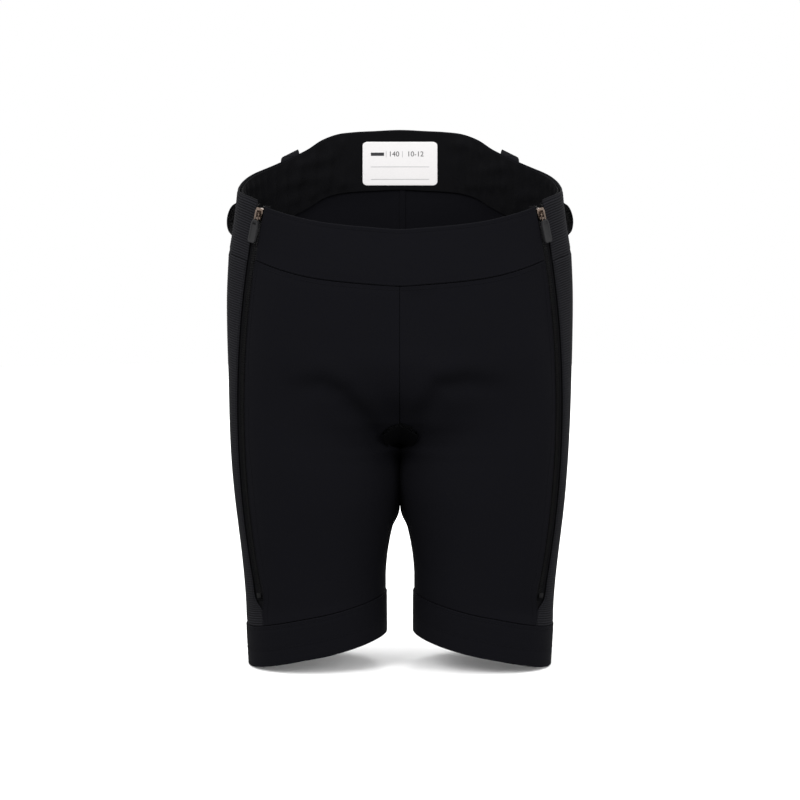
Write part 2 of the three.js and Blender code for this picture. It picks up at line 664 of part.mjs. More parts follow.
for (const [end, side] of [['front', -1], ['rear', 1]]) {
  addPair(`zip_tape_${end}`, zipTape(side), zipNylon);
  const near = (side * COIL_GAP) / 2;
  const low = -TAPE_DEPTH - COIL_HEIGHT / 2;
  const bottom = zipSweep - angleOf(TAPE_TAIL);
  const coil = zipStrip(near, side * coilEnd, low, low + COIL_HEIGHT, coilTop, bottom, ZIP_STEPS);
  addPair(`zip_coil_${end}`, coil, zipNylon);
  const stopLow = LAYER_GAP - tapeFace;
  const stopTop = coilTop - angleOf(LAYER_GAP);
  const stopEdge = coilEnd + LAYER_GAP;
  const stop = zipStrip(
    side * stopEdge, side * (stopEdge + TOP_STOP_WIDTH),
    stopLow, stopLow + STOP_HEIGHT, stopTop - angleOf(TOP_STOP_LENGTH), stopTop, 1,
  );
  addPair(`zip_top_stop_${end}`, stop, nickel);
}
const bottomStopLow = COIL_HEIGHT / 2 - TAPE_DEPTH + LAYER_GAP;
const bottomStop = zipStrip(
  -coilEnd, coilEnd, bottomStopLow, bottomStopLow + STOP_HEIGHT,
  zipSweep - angleOf(TAPE_TAIL + BOTTOM_STOP_LENGTH), zipSweep - angleOf(TAPE_TAIL), 1,
);
addPair('zip_bottom_stop', bottomStop, nickel);

// ---- slider and pull: local x towards the rear, y up the zip, z out of the cloth ----
function solid(geometry) {
  geometry.deleteAttribute('normal');
  geometry.deleteAttribute('uv');
  const merged = mergeVertices(geometry, 1e-4);
  const count = merged.getAttribute('position').count;
  const indices = merged.getIndex() ? merged.getIndex().array : [...Array(count).keys()];
  return new wasm.Manifold(
    new wasm.Mesh({
      numProp: 3,
      vertProperties: new Float32Array(merged.getAttribute('position').array),
      triVerts: new Uint32Array(indices),
    }),
  );
}

function fromSolid(body) {
  const mesh = body.getMesh();
  const geometry = new THREE.BufferGeometry();
  geometry.setAttribute('position', new THREE.BufferAttribute(mesh.vertProperties.slice(), 3));
  geometry.setIndex(Array.from(mesh.triVerts));
  return geometry;
}

function block(x0, x1, y0, y1, z0, z1) {
  const geometry = new THREE.BoxGeometry(x1 - x0, y1 - y0, z1 - z0);
  return solid(geometry.translate((x0 + x1) / 2, (y0 + y1) / 2, (z0 + z1) / 2));
}

function plate(outline, thickness, holes = []) {
  const shape = new THREE.Shape(outline.map(([x, y]) => new THREE.Vector2(x, y)));
  shape.holes = holes.map((hole) => new THREE.Path(hole.map(([x, y]) => new THREE.Vector2(x, y))));
  const geometry = new THREE.ExtrudeGeometry(shape, { depth: thickness, bevelEnabled: false });
  return geometry.translate(0, 0, -thickness / 2);
}

// the slider's outline: wide shoulders above, narrower below
const shoulder = SLIDER_WIDTH / 2;
const sliderHalf = SLIDER_LENGTH / 2;
const sliderOutline = [
  [-shoulder + SLIDER_TAIL, -sliderHalf],
  [shoulder - SLIDER_TAIL, -sliderHalf],
  [shoulder - SLIDER_WAIST, 0],
  [shoulder, sliderHalf - 1.7 * SLIDER_CORNER],
  [shoulder - SLIDER_CORNER / 3, sliderHalf - SLIDER_CORNER / 3],
  [shoulder - SLIDER_CORNER, sliderHalf],
  [-shoulder + SLIDER_CORNER, sliderHalf],
  [-shoulder + SLIDER_CORNER / 3, sliderHalf - SLIDER_CORNER / 3],
  [-shoulder, sliderHalf - 1.7 * SLIDER_CORNER],
  [-shoulder + SLIDER_WAIST, 0],
];
const channelHalf = COIL_HEIGHT / 2 + SLIDER_CLEARANCE;
const slitHalf = TAPE_THICKNESS / 2 + SLIDER_CLEARANCE;
const sliderTop = channelHalf + SLIDER_PLATE;
const pivotOut = sliderTop + PIVOT_RISE + PIVOT_HOLE / 2;
const bridgeTop = pivotOut + PIVOT_HOLE / 2 + BRIDGE_WALL;

function sliderBody() {
  const wallEnd = coilEnd + SLIDER_CLEARANCE;
  const past = 2 * SLIDER_LENGTH; // cutters reach well past the slider
  let body = solid(plate(sliderOutline, 2 * sliderTop));
  for (const side of [-1, 1]) {
    const span = (a, b) => (side < 0 ? [-b, -a] : [a, b]);
    body = body.subtract(block(...span(POST / 2, wallEnd), -past, past, -channelHalf, channelHalf));
    body = body.subtract(block(...span(wallEnd - SLIDER_CLEARANCE / 3, past), -past, past, -slitHalf, slitHalf));
  }
  body = body.subtract(block(-POST, POST, -past, 0, -channelHalf, channelHalf));
  const bridgeHalf = BRIDGE_LENGTH / 2;
  const sunk = sliderTop - BRIDGE_ROOT;
  const bridge = block(-BRIDGE_WIDTH / 2, BRIDGE_WIDTH / 2, -bridgeHalf, bridgeHalf, sunk, bridgeTop);
  const hole = block(
    -past, past, -PIVOT_HOLE / 2, PIVOT_HOLE / 2, sliderTop, pivotOut + PIVOT_HOLE / 2,
  );
  return body.add(bridge.subtract(hole));
}

const ringOuter = BRIDGE_WIDTH / 2 + BAIL_ROOM + BAIL_WIRE;
const ringInner = ringOuter - BAIL_WIRE;
const ringTop = BAIL_WIRE / 2;
const ringBottom = ringTop - BAIL_LENGTH;
const rectangle = (half, low, high) => [[-half, low], [half, low], [half, high], [-half, high]];

function bailRing(grow) {
  const outer = rectangle(ringOuter + grow, ringBottom - grow, ringTop + grow);
  const inner = rectangle(ringInner - grow, ringBottom + BAIL_WIRE + grow, ringTop - BAIL_WIRE - grow);
  return plate(outer, BAIL_WIRE + 2 * grow, [inner.reverse()]);
}

function pullTab() {
  const half = TAB_WIDTH / 2;
  const high = ringBottom + TAB_LAP;
  const low = high - TAB_LENGTH;
  const outline = [
    [-half + TAB_CORNER, low],
    [half - TAB_CORNER, low],
    [half, low + TAB_CORNER],
    [half, high - TAB_SHOULDER],
    [half - TAB_SHOULDER / 4, high - TAB_SHOULDER / 4],
    [half - TAB_SHOULDER / 2, high],
    [-half + TAB_SHOULDER / 2, high],
    [-half + TAB_SHOULDER / 4, high - TAB_SHOULDER / 4],
    [-half, high - TAB_SHOULDER],
    [-half, low + TAB_CORNER],
  ];
  return solid(plate(outline, TAB_THICKNESS)).subtract(solid(bailRing(TAB_GAP)));
}

// carries a local shape to the slider's place at the top of the zip
function onZip(geometry, out) {
  const frame = zipFrame(sliderAngle);
  const matrix = new THREE.Matrix4().makeBasis(frame.rear, frame.up, frame.out);
  matrix.setPosition(frame.at.clone().addScaledVector(frame.out, out - TAPE_DEPTH));
  return finished(geometry.applyMatrix4(matrix));
}
addPair('zip_slider', onZip(fromSolid(sliderBody()), 0), nickel);
addPair('zip_pull_bail', onZip(bailRing(0), pivotOut), nickel);
addPair('zip_pull_tab', onZip(fromSolid(pullTab()), pivotOut), moulded);

// ---- impact pads in their pockets ----
// p and q run from -1 to 1 across and up a pad; beyond 1 only the pocket is left
const padThickness = (p, q) => {
  const edge = Math.min(1 - Math.abs(p), 1 - Math.abs(q));
  return lerp(PAD_EDGE, PAD_THICKNESS, ease(edge / PAD_TAPER));
};
const padDepth = SHELL + PAD_GAP;

// The pad's own rows, with one more at each end for the pocket's margin.
function pocketShare(t, steps) {
  const i = t * (steps + 2) - 1;
  if (i < 0) return lerp(-1, -POCKET_MARGIN, -i);
  if (i > steps) return lerp(1, POCKET_MARGIN, i - steps);
  return (2 * i) / steps - 1;
}

function padLayers(name, patch, steps, rows, mount) {
  const face = (u, v) => patch(2 * u - 1, 2 * v - 1);
  const back = (u, v) => padDepth + padThickness(2 * u - 1, 2 * v - 1);
  mount(name, bentPanel(face, steps, rows, padDepth, back, -1), foam);
  const across = (u) => pocketShare(u, steps);
  const along = (v) => pocketShare(v, rows);
  const pocketFace = (u, v) => padDepth + LAYER_GAP + padThickness(across(u), along(v));
  const pocketBack = (u, v) => pocketFace(u, v) + POCKET_FABRIC;
  const pocketPlace = (u, v) => patch(across(u), along(v));
  const pocket = bentPanel(pocketPlace, steps + 2, rows + 2, pocketFace, pocketBack, -1);
  mount(`${name}_pocket`, pocket, tricot);
}

function sidePad({ place, reach, low, high }, side) {
  return (p, q) => clothPoint(place + reach * p, lerp(low, high, (q + 1) / 2), side);
}
padLayers('hip_pad', sidePad(HIP_PAD, 1), 6, 10, addPair);
padLayers('thigh_pad', sidePad(THIGH_PAD, -1), 6, 6, addPair);

function tailbonePatch(p, q) {
  const z = lerp(TAILBONE_PAD.low, TAILBONE_PAD.high, (q + 1) / 2);
  const reach = (Math.abs(p) * TAILBONE_PAD.halfWidth) / centreBackGirth(z);
  const point = bodyPoint(1 - reach, z);
  point.x = Math.min(point.x + SEAM_GAP / 2, 0) * -Math.sign(p || 1);
  return point;
}
padLayers('tailbone_pad', tailbonePatch, 8, 6, add);

export default group;
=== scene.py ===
# %% [markdown]
# Padded race shorts for skiing: black softshell with ribbed sides, a zip down each side, belt loops,
# a label inside the back and soft impact pads in pockets. Everything here is sewn cloth or a small
# zip part, so the lesson is about cloth: how a flat cut piece gets its curve, thickness and seams.
# The frame gives one plain closed solid for each piece, and each finished piece starts from it.

import math
from collections import Counter

import bmesh
import bpy
import numpy as np
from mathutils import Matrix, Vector


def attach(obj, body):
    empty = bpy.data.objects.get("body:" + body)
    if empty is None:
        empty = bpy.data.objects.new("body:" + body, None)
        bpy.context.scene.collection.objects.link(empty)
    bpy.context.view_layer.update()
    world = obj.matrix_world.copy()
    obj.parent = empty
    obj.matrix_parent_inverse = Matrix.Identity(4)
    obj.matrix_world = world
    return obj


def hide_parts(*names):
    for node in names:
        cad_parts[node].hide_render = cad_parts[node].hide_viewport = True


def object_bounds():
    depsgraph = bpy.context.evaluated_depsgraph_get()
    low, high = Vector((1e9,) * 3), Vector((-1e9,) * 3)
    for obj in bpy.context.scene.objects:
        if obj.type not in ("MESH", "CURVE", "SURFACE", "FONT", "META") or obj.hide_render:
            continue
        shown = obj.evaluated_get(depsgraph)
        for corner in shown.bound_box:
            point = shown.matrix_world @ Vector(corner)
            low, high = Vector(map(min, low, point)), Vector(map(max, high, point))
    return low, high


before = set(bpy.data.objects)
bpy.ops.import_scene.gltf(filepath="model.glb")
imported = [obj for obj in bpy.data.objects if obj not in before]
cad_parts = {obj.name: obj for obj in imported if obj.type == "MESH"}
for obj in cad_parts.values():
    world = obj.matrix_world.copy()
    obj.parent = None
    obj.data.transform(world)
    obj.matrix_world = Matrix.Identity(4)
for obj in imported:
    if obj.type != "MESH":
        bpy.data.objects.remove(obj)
cad_low, cad_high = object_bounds()
MM = 0.001
print("frame size in mm:", [round(x / MM) for x in cad_high - cad_low])

# %% [markdown]
# The camera comes first. A long lens far away keeps the garment's sides nearly parallel, as product
# pictures do. It stands a little above the waist, so that it sees into the opening.

# %% Camera
CAMERA_AIM = Vector((0, -6, -153)) * MM
CAMERA_DISTANCE = 2450 * MM
CAMERA_ELEVATION = math.radians(5.5)
camera_data = bpy.data.cameras.new("camera")
camera_data.lens = 125
camera = bpy.data.objects.new("camera", camera_data)
bpy.context.scene.collection.objects.link(camera)
away = Vector((0, -math.cos(CAMERA_ELEVATION), math.sin(CAMERA_ELEVATION)))
camera.location = CAMERA_AIM + away * CAMERA_DISTANCE
camera.rotation_euler = away.to_track_quat("Z", "Y").to_euler()
bpy.context.scene.camera = camera
print("camera at", [round(x, 2) for x in camera.location])

# %% [markdown]
# Black cloth shows its shape only through soft highlights, so the light is a pale room with large
# soft panels: one high on the left in front, a weaker one on the right, and one from behind that
# draws the edges. The room is white to look at, but it sheds more light from above than from below,
# and the white floor sheds none, so cloth that turns downwards goes dark and the folds show.

# %% Light and floor
world = bpy.data.worlds.new("pale room")
bpy.context.scene.world = world
world.use_nodes = True
ROOM_BELOW, ROOM_ABOVE = 0.14, 2.0  # how much light comes from straight below and straight above
room = world.node_tree
direction = room.nodes.new("ShaderNodeTexCoord")
height = room.nodes.new("ShaderNodeSeparateXYZ")
room.links.new(direction.outputs["Generated"], height.inputs[0])
shed = room.nodes.new("ShaderNodeMapRange")
shed.inputs["From Min"].default_value = -1
shed.inputs["To Min"].default_value = ROOM_BELOW
shed.inputs["To Max"].default_value = ROOM_ABOVE
room.links.new(height.outputs["Z"], shed.inputs["Value"])
seen = room.nodes.new("ShaderNodeLightPath")
strength = room.nodes.new("ShaderNodeMix")
strength.inputs[3].default_value = 1
room.links.new(seen.outputs["Is Camera Ray"], strength.inputs[0])
room.links.new(shed.outputs["Result"], strength.inputs[2])
room.nodes["Background"].inputs["Color"].default_value = (1, 1, 1, 1)
room.links.new(strength.outputs[0], room.nodes["Background"].inputs["Strength"])
bpy.context.scene.view_settings.view_transform = "Standard"


def soft_panel(name, place, power, size):
    light = bpy.data.lights.new(name, "AREA")
    light.energy = power
    light.size = size
    panel = bpy.data.objects.new(name, light)
    bpy.context.scene.collection.objects.link(panel)
    panel.location = place
    panel.rotation_euler = (Vector(place) - CAMERA_AIM).to_track_quat("Z", "Y").to_euler()


soft_panel("key panel", (-1.5, -2.2, 1.6), 55, 1.4)
soft_panel("fill panel", (1.8, -1.9, 0.7), 28, 1.2)
soft_panel("back panel", (0.4, 2.0, 1.8), 25, 1.2)
FLOOR_RADIUS = 3.2  # metres; all of it is brightly lit, so its edge does not show
FLOOR_DROP = 0.2 * MM
bpy.ops.mesh.primitive_circle_add(
    vertices=96, radius=FLOOR_RADIUS, fill_type="NGON", location=(0, 0, cad_low.z - FLOOR_DROP),
)
floor = bpy.context.object
floor.name = "floor"
floor.visible_diffuse = False
floor.visible_glossy = False
print("floor level in mm:", round(cad_low.z / MM, 1))

# %% [markdown]
# A material is a small network of nodes. One helper adds a node, sets it and joins it to the nodes
# before it. Colours are written as the hex values of a colour picker and turned to linear light.

# %% Material helpers
def linear(hex_colour):
    values = [int(hex_colour[i : i + 2], 16) / 255 for i in (1, 3, 5)]
    turned = [v / 12.92 if v <= 0.04045 else ((v + 0.055) / 1.055) ** 2.4 for v in values]
    return (*turned, 1)


def add(tree, kind, links=None, **settings):
    """Adds a node. Settings name its properties or sockets; links name sockets to feed."""
    made = tree.nodes.new(kind)
    for key, value in settings.items():
        if hasattr(made, key):
            setattr(made, key, value)
        else:
            made.inputs[key.replace("_", " ")].default_value = value
    for socket, source in (links or {}).items():
        tree.links.new(source, made.inputs[socket])
    return made


def new_material(name, roughness, metallic=0.0, specular=0.5):
    made = bpy.data.materials.new(name)
    made.use_nodes = True
    shader = made.node_tree.nodes["Principled BSDF"]
    shader.inputs["Roughness"].default_value = roughness
    shader.inputs["Metallic"].default_value = metallic
    shader.inputs["Specular IOR Level"].default_value = specular
    return made, made.node_tree, shader


def mixed_colour(tree, shader, factor, low, high):
    """The shader's colour goes from low to high with a factor."""
    ramp = add(tree, "ShaderNodeMix", {0: factor}, data_type="RGBA")
    ramp.inputs[6].default_value = linear(low)
    ramp.inputs[7].default_value = linear(high)
    tree.links.new(ramp.outputs[2], shader.inputs["Base Color"])


def bumped(tree, shader, height, depth_mm, strength=1.0):
    bump = add(tree, "ShaderNodeBump", {"Height": height}, Strength=strength, Distance=depth_mm * MM)
    tree.links.new(bump.outputs["Normal"], shader.inputs["Normal"])


def uneven(tree, socket, source, low, high):
    """A socket that wanders between two values with a pattern."""
    wander = add(tree, "ShaderNodeMapRange", {"Value": source}, To_Min=low, To_Max=high)
    tree.links.new(wander.outputs["Result"], socket)


# %% [markdown]
# Sewn cloth has a direction, so its weave must turn with the piece. Every sheet below carries its
# own UV map in metres, along and up the cut piece, and a weave is two crossed waves on that map.

# %% Woven and knitted finishes
def cloth(name, low, high, along_mm, up_mm, depth_mm, roughness=0.92, specular=0.05):
    """Yarns cross along_mm and up_mm apart. The colour wanders between two tones."""
    made, tree, shader = new_material(name, roughness, specular=specular)
    place = add(tree, "ShaderNodeUVMap", uv_map="cut")
    waves = []
    for pitch, turn in ((along_mm, 0), (up_mm, math.pi / 2)):
        turned = add(tree, "ShaderNodeMapping", {"Vector": place.outputs["UV"]})
        turned.inputs["Rotation"].default_value = (0, 0, turn)
        wave = add(tree, "ShaderNodeTexWave", {"Vector": turned.outputs["Vector"]})
        wave.inputs["Scale"].default_value = math.pi / 10 / (pitch * MM)
        wave.inputs["Distortion"].default_value = 0.6
        waves.append(wave.outputs["Fac"])
    weave = add(tree, "ShaderNodeMath", {0: waves[0], 1: waves[1]}, operation="MULTIPLY")
    body_place = add(tree, "ShaderNodeTexCoord")
    cloud = add(tree, "ShaderNodeTexNoise", {"Vector": body_place.outputs["Object"]}, Scale=45.0, Detail=4.0)
    fuzz = add(tree, "ShaderNodeTexNoise", {"Vector": body_place.outputs["Object"]}, Scale=2600.0, Detail=2.0)
    tone = add(tree, "ShaderNodeMath", {0: weave.outputs[0], 1: cloud.outputs["Fac"]}, operation="MULTIPLY")
    speck = add(tree, "ShaderNodeMath", {0: tone.outputs[0], 1: fuzz.outputs["Fac"]}, operation="ADD")
    mixed_colour(tree, shader, speck.outputs[0], low, high)
    uneven(tree, shader.inputs["Roughness"], cloud.outputs["Fac"], roughness - 0.06, roughness + 0.06)
    bumped(tree, shader, speck.outputs[0], depth_mm)
    return made


# Polyester softshell: a flat close knit with a matte face that drinks the light.
SOFTSHELL = cloth("stretch softshell, knitted face", "#060608", "#0c0c10", 0.9, 0.7, 0.05)
# Brushed tricot: the lining, darker and softer than the face.
TRICOT = cloth("brushed tricot lining", "#050506", "#0b0b0d", 1.1, 0.8, 0.08, 0.97, 0.06)
# The gusset is the same knit, made the darkest cloth of all: its colour is painted shade for the dark crotch.
GUSSET_PAINTED_SHADE_TRICOT = cloth("tricot, painted crotch shade", "#020203", "#050507", 1.1, 0.8, 0.05)
# Knitted elastic: coarse ribs across the band.
ELASTIC_KNIT = cloth("knitted elastic", "#0a0a0c", "#18181b", 1.4, 0.9, 0.12, 0.85)
# Folded webbing: coarse yarns, drawn at 1.1 mm so that they show.
WEBBING = cloth("polyester webbing", "#09090b", "#19191c", 1.1, 1.1, 0.15, 0.8)
# Zip tape: a fine weave with ribs along the tape.
ZIP_TAPE = cloth("woven zip tape", "#060607", "#0d0d0f", 0.8, 0.6, 0.08, 0.85, 0.05)
# Polyester thread: twisted, a little shinier than the cloth.
THREAD = cloth("polyester thread", "#07070a", "#0e0e12", 0.5, 0.5, 0.03, 0.8, 0.06)
# Printed satin: white with a faint yarn line, slightly glossy.
SATIN = cloth("white printed satin", "#c4c2c2", "#dcdada", 0.5, 0.5, 0.01, 0.5, 0.4)
# Closed-cell foam with a bonded face.
FOAM = cloth("closed-cell foam with a knit face", "#1a1a1d", "#26262a", 1.2, 1.2, 0.1, 0.92, 0.15)
print("cloth finishes:", [m.name for m in bpy.data.materials])

# %% [markdown]
# The side panels are ottoman: fat cords of filling yarn lie level across the cloth, a little over
# 2 mm apart. The cords are real geometry. The finish paints light on the crests and shade in the
# grooves, in step with the cords, and adds a fine fluffy speckle.

# %% Ribbed finish
RIB_PITCH = 2.2 * MM


def ribbed_cloth():
    made, tree, shader = new_material("ottoman ribbed stretch cloth", 0.94, specular=0.05)
    place = add(tree, "ShaderNodeUVMap", uv_map="cut")
    split = add(tree, "ShaderNodeSeparateXYZ", {0: place.outputs["UV"]})
    turn = add(tree, "ShaderNodeMath", {0: split.outputs[1]}, operation="MULTIPLY")
    turn.inputs[1].default_value = math.pi / RIB_PITCH
    swing = add(tree, "ShaderNodeMath", {0: turn.outputs[0]}, operation="SINE")
    crest = add(tree, "ShaderNodeMath", {0: swing.outputs[0]}, operation="ABSOLUTE")
    body_place = add(tree, "ShaderNodeTexCoord")
    place = {"Vector": body_place.outputs["Object"]}
    fluff = add(tree, "ShaderNodeTexNoise", place, Scale=1500.0, Detail=3.0)
    painted_crest_light_and_fluff = add(tree, "ShaderNodeMath", {0: crest.outputs[0], 1: fluff.outputs["Fac"]}, operation="MULTIPLY")
    # Painted light and shade: the crests are paler and the grooves darker, following the cords.
    mixed_colour(tree, shader, painted_crest_light_and_fluff.outputs[0], "#050506", "#28282c")
    uneven(tree, shader.inputs["Roughness"], fluff.outputs["Fac"], 0.85, 1.0)
    bumped(tree, shader, fluff.outputs["Fac"], 0.15)
    return made


RIBBED = ribbed_cloth()

# %% [markdown]
# The hard parts are few: nickel-plated zinc sliders, die cast and tumbled, so nearly smooth with a
# warm tint; nylon coil teeth, extruded and glossy; and a moulded thermoplastic pull with a fine
# spark texture of about 0.2 mm, which makes it matte.

# %% Metal and plastic finishes
def hard_finish(name, low, high, roughness, metallic, specular, grain_mm, depth_mm):
    made, tree, shader = new_material(name, roughness, metallic, specular)
    place = add(tree, "ShaderNodeTexCoord")
    grain = add(tree, "ShaderNodeTexNoise", {"Vector": place.outputs["Object"]}, Detail=4.0)
    grain.inputs["Scale"].default_value = 1 / (grain_mm * MM)
    mixed_colour(tree, shader, grain.outputs["Fac"], low, high)
    uneven(tree, shader.inputs["Roughness"], grain.outputs["Fac"], roughness * 0.7, roughness * 1.3)
    bumped(tree, shader, grain.outputs["Fac"], depth_mm)
    return made


NICKEL = hard_finish("dark nickel-plated zinc, tumbled", "#4a403a", "#8c7c70", 0.26, 1.0, 0.5, 2.5, 0.01)
NYLON = hard_finish("nylon coil, extruded", "#040405", "#09090a", 0.6, 0.0, 0.12, 1.5, 0.01)
MOULDED = hard_finish("moulded thermoplastic pull", "#0c0c0e", "#141416", 0.62, 0.0, 0.25, 0.4, 0.03)
PRINT = hard_finish("grey label print", "#242426", "#3a3a3c", 0.7, 0.0, 0.2, 0.6, 0.0)
RULE = hard_finish("pale label print", "#8c8c8e", "#a0a0a2", 0.7, 0.0, 0.2, 0.6, 0.0)
FLOOR = hard_finish("matte painted floor", "#f4f4f4", "#fafafa", 0.9, 0.0, 0.1, 400, 0.0)
floor.data.materials.append(FLOOR)
print("materials:", len(bpy.data.materials))

# %% [markdown]
# Each sewn piece in the frame is a plain slab with two skins and a rim. Its outer skin is a coarse
# grid of triangles in rows and columns. The cell below finds that skin, walks it row by row from
# its lower edge and gives it back as a table of points, which a smooth surface can pass through.

# %% Read the grid of a sewn piece
RIM_ANGLES = (52, 60)  # degrees; a slab turns this sharply only at its rim


def skins(solid, rim_angle):
    """Groups of faces that meet without a sharp edge, the largest first."""
    left, groups = set(solid.faces), []
    while left:
        waiting = [left.pop()]
        group = set(waiting)
        while waiting:
            for edge in waiting.pop().edges:
                if edge.calc_face_angle(math.pi) < rim_angle:
                    fresh = [f for f in edge.link_faces if f in left]
                    left.difference_update(fresh)
                    group.update(fresh)
                    waiting.extend(fresh)
        groups.append(group)
    return sorted(groups, key=lambda g: -sum(f.calc_area() for f in g))


def border_rings(group):
    """The skin's borders, each an ordered list of vertices."""
    beside = {}
    for edge in {e for f in group for e in f.edges}:
        if sum(f in group for f in edge.link_faces) == 1:
            for a, b in (edge.verts, reversed(edge.verts)):
                beside.setdefault(a, []).append(b)
    rings = []
    while beside:
        start = next(iter(beside))
        ring, here = [], start
        while here in beside:
            ring.append(here)
            onward = [v for v in beside.pop(here) if v in beside]
            here = onward[0] if onward else None
        rings.append(ring)
    return rings


def third(group, used, a, b):
    """The unused face on an edge, and its far vertex."""
    edge = next(e for e in a.link_edges if e.other_vert(a) == b)
    face = next(f for f in edge.link_faces if f in group and f not in used)
    used.add(face)
    return next(v for v in face.verts if v not in (a, b))


def mean_z(verts):
    return sum(v.co.z for v in verts) / len(verts)


def walk_up(group, row, left, right, rows):
    used, table = set(), [row]
    closed = left is None
    for j in range(1, rows + 1):
        pairs = list(zip(row, row[1:] + row[:1])) if closed else list(zip(row, row[1:]))
        apex = [third(group, used, a, b) for a, b in pairs]
        if closed:
            lean = sum((t.co - a.co).length - (t.co - b.co).length for t, (a, b) in zip(apex, pairs))
            above = apex if lean < 0 else apex[-1:] + apex[:-1]
        else:
            above = [*apex, right[j]] if apex[0] == left[j] else [left[j], *apex]
        for a, b in zip(above, above[1:] + above[:1]) if closed else zip(above, above[1:]):
            below = [f for f in a.link_faces if b in f.verts and f in group and f not in used]
            used.update(f for f in below if any(v in row for v in f.verts))
        table.append(above)
        row = above
    return table


def skin_table(node, inside):
    """The outer skin's points as an array [row][column][xyz], rows from the bottom up."""
    solid = bmesh.new()
    solid.from_mesh(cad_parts[node].data)
    bmesh.ops.remove_doubles(solid, verts=solid.verts, dist=0.01 * MM)
    inside = Vector(inside)

    def facing(group):
        total = 0
        for f in group:
            middle = f.calc_center_median()
            heart = Vector((inside.x, inside.y, inside.z or middle.z))
            total += f.calc_area() * f.normal.dot((middle - heart).normalized())
        return total

    for angle in RIM_ANGLES:
        group = max(skins(solid, math.radians(angle))[:2], key=facing)
        rings = border_rings(group)
        touching = Counter(v for f in group for v in f.verts)
        if len(rings) == 2 or sum(touching[v] != 3 for v in rings[0]) == 4:
            break
    if len(rings) == 2:
        ring = min(rings, key=mean_z)
        turns = sum(a.co.x * b.co.y - a.co.y * b.co.x for a, b in zip(ring, ring[1:] + ring[:1]))
        ring = ring[::-1] if turns > 0 else ring  # always clockwise, seen from above
        first = min(range(len(ring)), key=lambda i: (round(abs(ring[i].co.x), 6), ring[i].co.y))
        ring = ring[first:] + ring[:first]
        rows = (len(group) // len(ring)) // 2
        table = [r + r[:1] for r in walk_up(group, ring, None, None, rows)]
    else:
        ring = rings[0]
        corners = [i for i, v in enumerate(ring) if touching[v] != 3]
        ring = ring[corners[0] :] + ring[: corners[0]]
        at = [i - corners[0] for i in corners] + [len(ring)]
        sides = [(ring + ring[:1])[a : b + 1] for a, b in zip(at, at[1:])]
        low = min(range(4), key=lambda i: mean_z(sides[i]))
        bottom, right = sides[low], sides[(low + 1) % 4]
        left = sides[(low + 3) % 4][::-1]
        table = walk_up(group, bottom, left, right, len(right) - 1)
    points = np.array([[v.co[:] for v in row] for row in table])
    start, end = points[-1][0], points[-1][-1]
    if len(rings) == 1 and (round(end[1], 3), end[0]) < (round(start[1], 3), start[0]):
        points = points[:, ::-1]
    tilt = np.array(sum((f.normal * f.calc_area() for f in group), Vector()))
    solid.free()
    return points, tilt, len(rings) == 2


demo_points, *_ = skin_table("front_panel_left", (-0.065, 0, 0))
print("front panel grid, rows and columns:", demo_points.shape[:2])

# %% [markdown]
# A smooth curve through the coarse points makes the surface as fine as the detail needs. The slope
# at each point weighs the stretches on both sides, so uneven spacing does not make it overshoot.

# %% Smooth surface through a grid
def smooth(values, stops, x):
    """Cubic pieces through values at stops, along the first axis, and straight on past the ends."""
    gap = np.diff(stops)
    shape = (-1,) + (1,) * (values.ndim - 1)
    rate = np.diff(values, axis=0) / gap.reshape(shape)
    slope = np.empty_like(values)
    near, far = gap[:-1].reshape(shape), gap[1:].reshape(shape)
    slope[1:-1] = (rate[:-1] * far + rate[1:] * near) / (near + far)
    slope[0] = (3 * rate[0] - slope[1]) / 2 if len(values) > 2 else rate[0]
    slope[-1] = (3 * rate[-1] - slope[-2]) / 2 if len(values) > 2 else rate[0]
    held = np.clip(x, stops[0], stops[-1])
    i = np.clip(np.searchsorted(stops, held, "right") - 1, 0, len(gap) - 1)
    t = ((held - stops[i]) / gap[i]).reshape(shape)
    h = gap[i].reshape(shape)
    a, b = values[i], values[i + 1]
    rise = t * t * (3 - 2 * t)
    past = (x - held).reshape(shape)
    onward = past * np.where(past < 0, slope[0], slope[-1])
    return a + (b - a) * rise + slope[i] * h * t * (1 - t) ** 2 - slope[i + 1] * h * t * t * (1 - t) + onward


def run_along(line):
    """How far along a line each of its points is."""
    return np.concatenate([[0], np.cumsum(np.linalg.norm(np.diff(line, axis=0), axis=1))])


def unit(rows):
    """Each row drawn out or in to a length of 1."""
    return rows / np.linalg.norm(rows, axis=-1, keepdims=True)


def stops_along(points, axis):
    steps = np.linalg.norm(np.diff(points, axis=axis), axis=2).mean(axis=1 - axis)
    return np.concatenate([[0], np.cumsum(steps)])


def surface(points, closed):
    """The size of a grid along and up, and a function from two lists of places to its points."""
    up, along = stops_along(points, 0), stops_along(points, 1)
    grid = points
    if closed:
        grid = np.concatenate([points[:, -3:-1], points, points[:, 1:3]], axis=1)
        before, after = along[-3:-1] - along[-1], along[1:3] + along[-1]
        stops = np.concatenate([before, along, after])
    else:
        stops = along

    def at(u, v):
        rows = smooth(grid, up, np.asarray(v, float))
        return np.swapaxes(smooth(np.swapaxes(rows, 0, 1), stops, np.asarray(u, float)), 0, 1)

    return along[-1], up[-1], at


# %% [markdown]
# A sewn edge is never a knife edge: the cloth folds round it. Samples crowd together near each edge,
# and the two skins bend towards each other there. At a lapped seam the cloth dives under its
# neighbour and runs on for a few millimetres, as a seam allowance does, so no light comes through.
# The helper below makes the closed sheet. It also presses in the lines of stitches and notes where
# they run, so that thread can be laid in later.

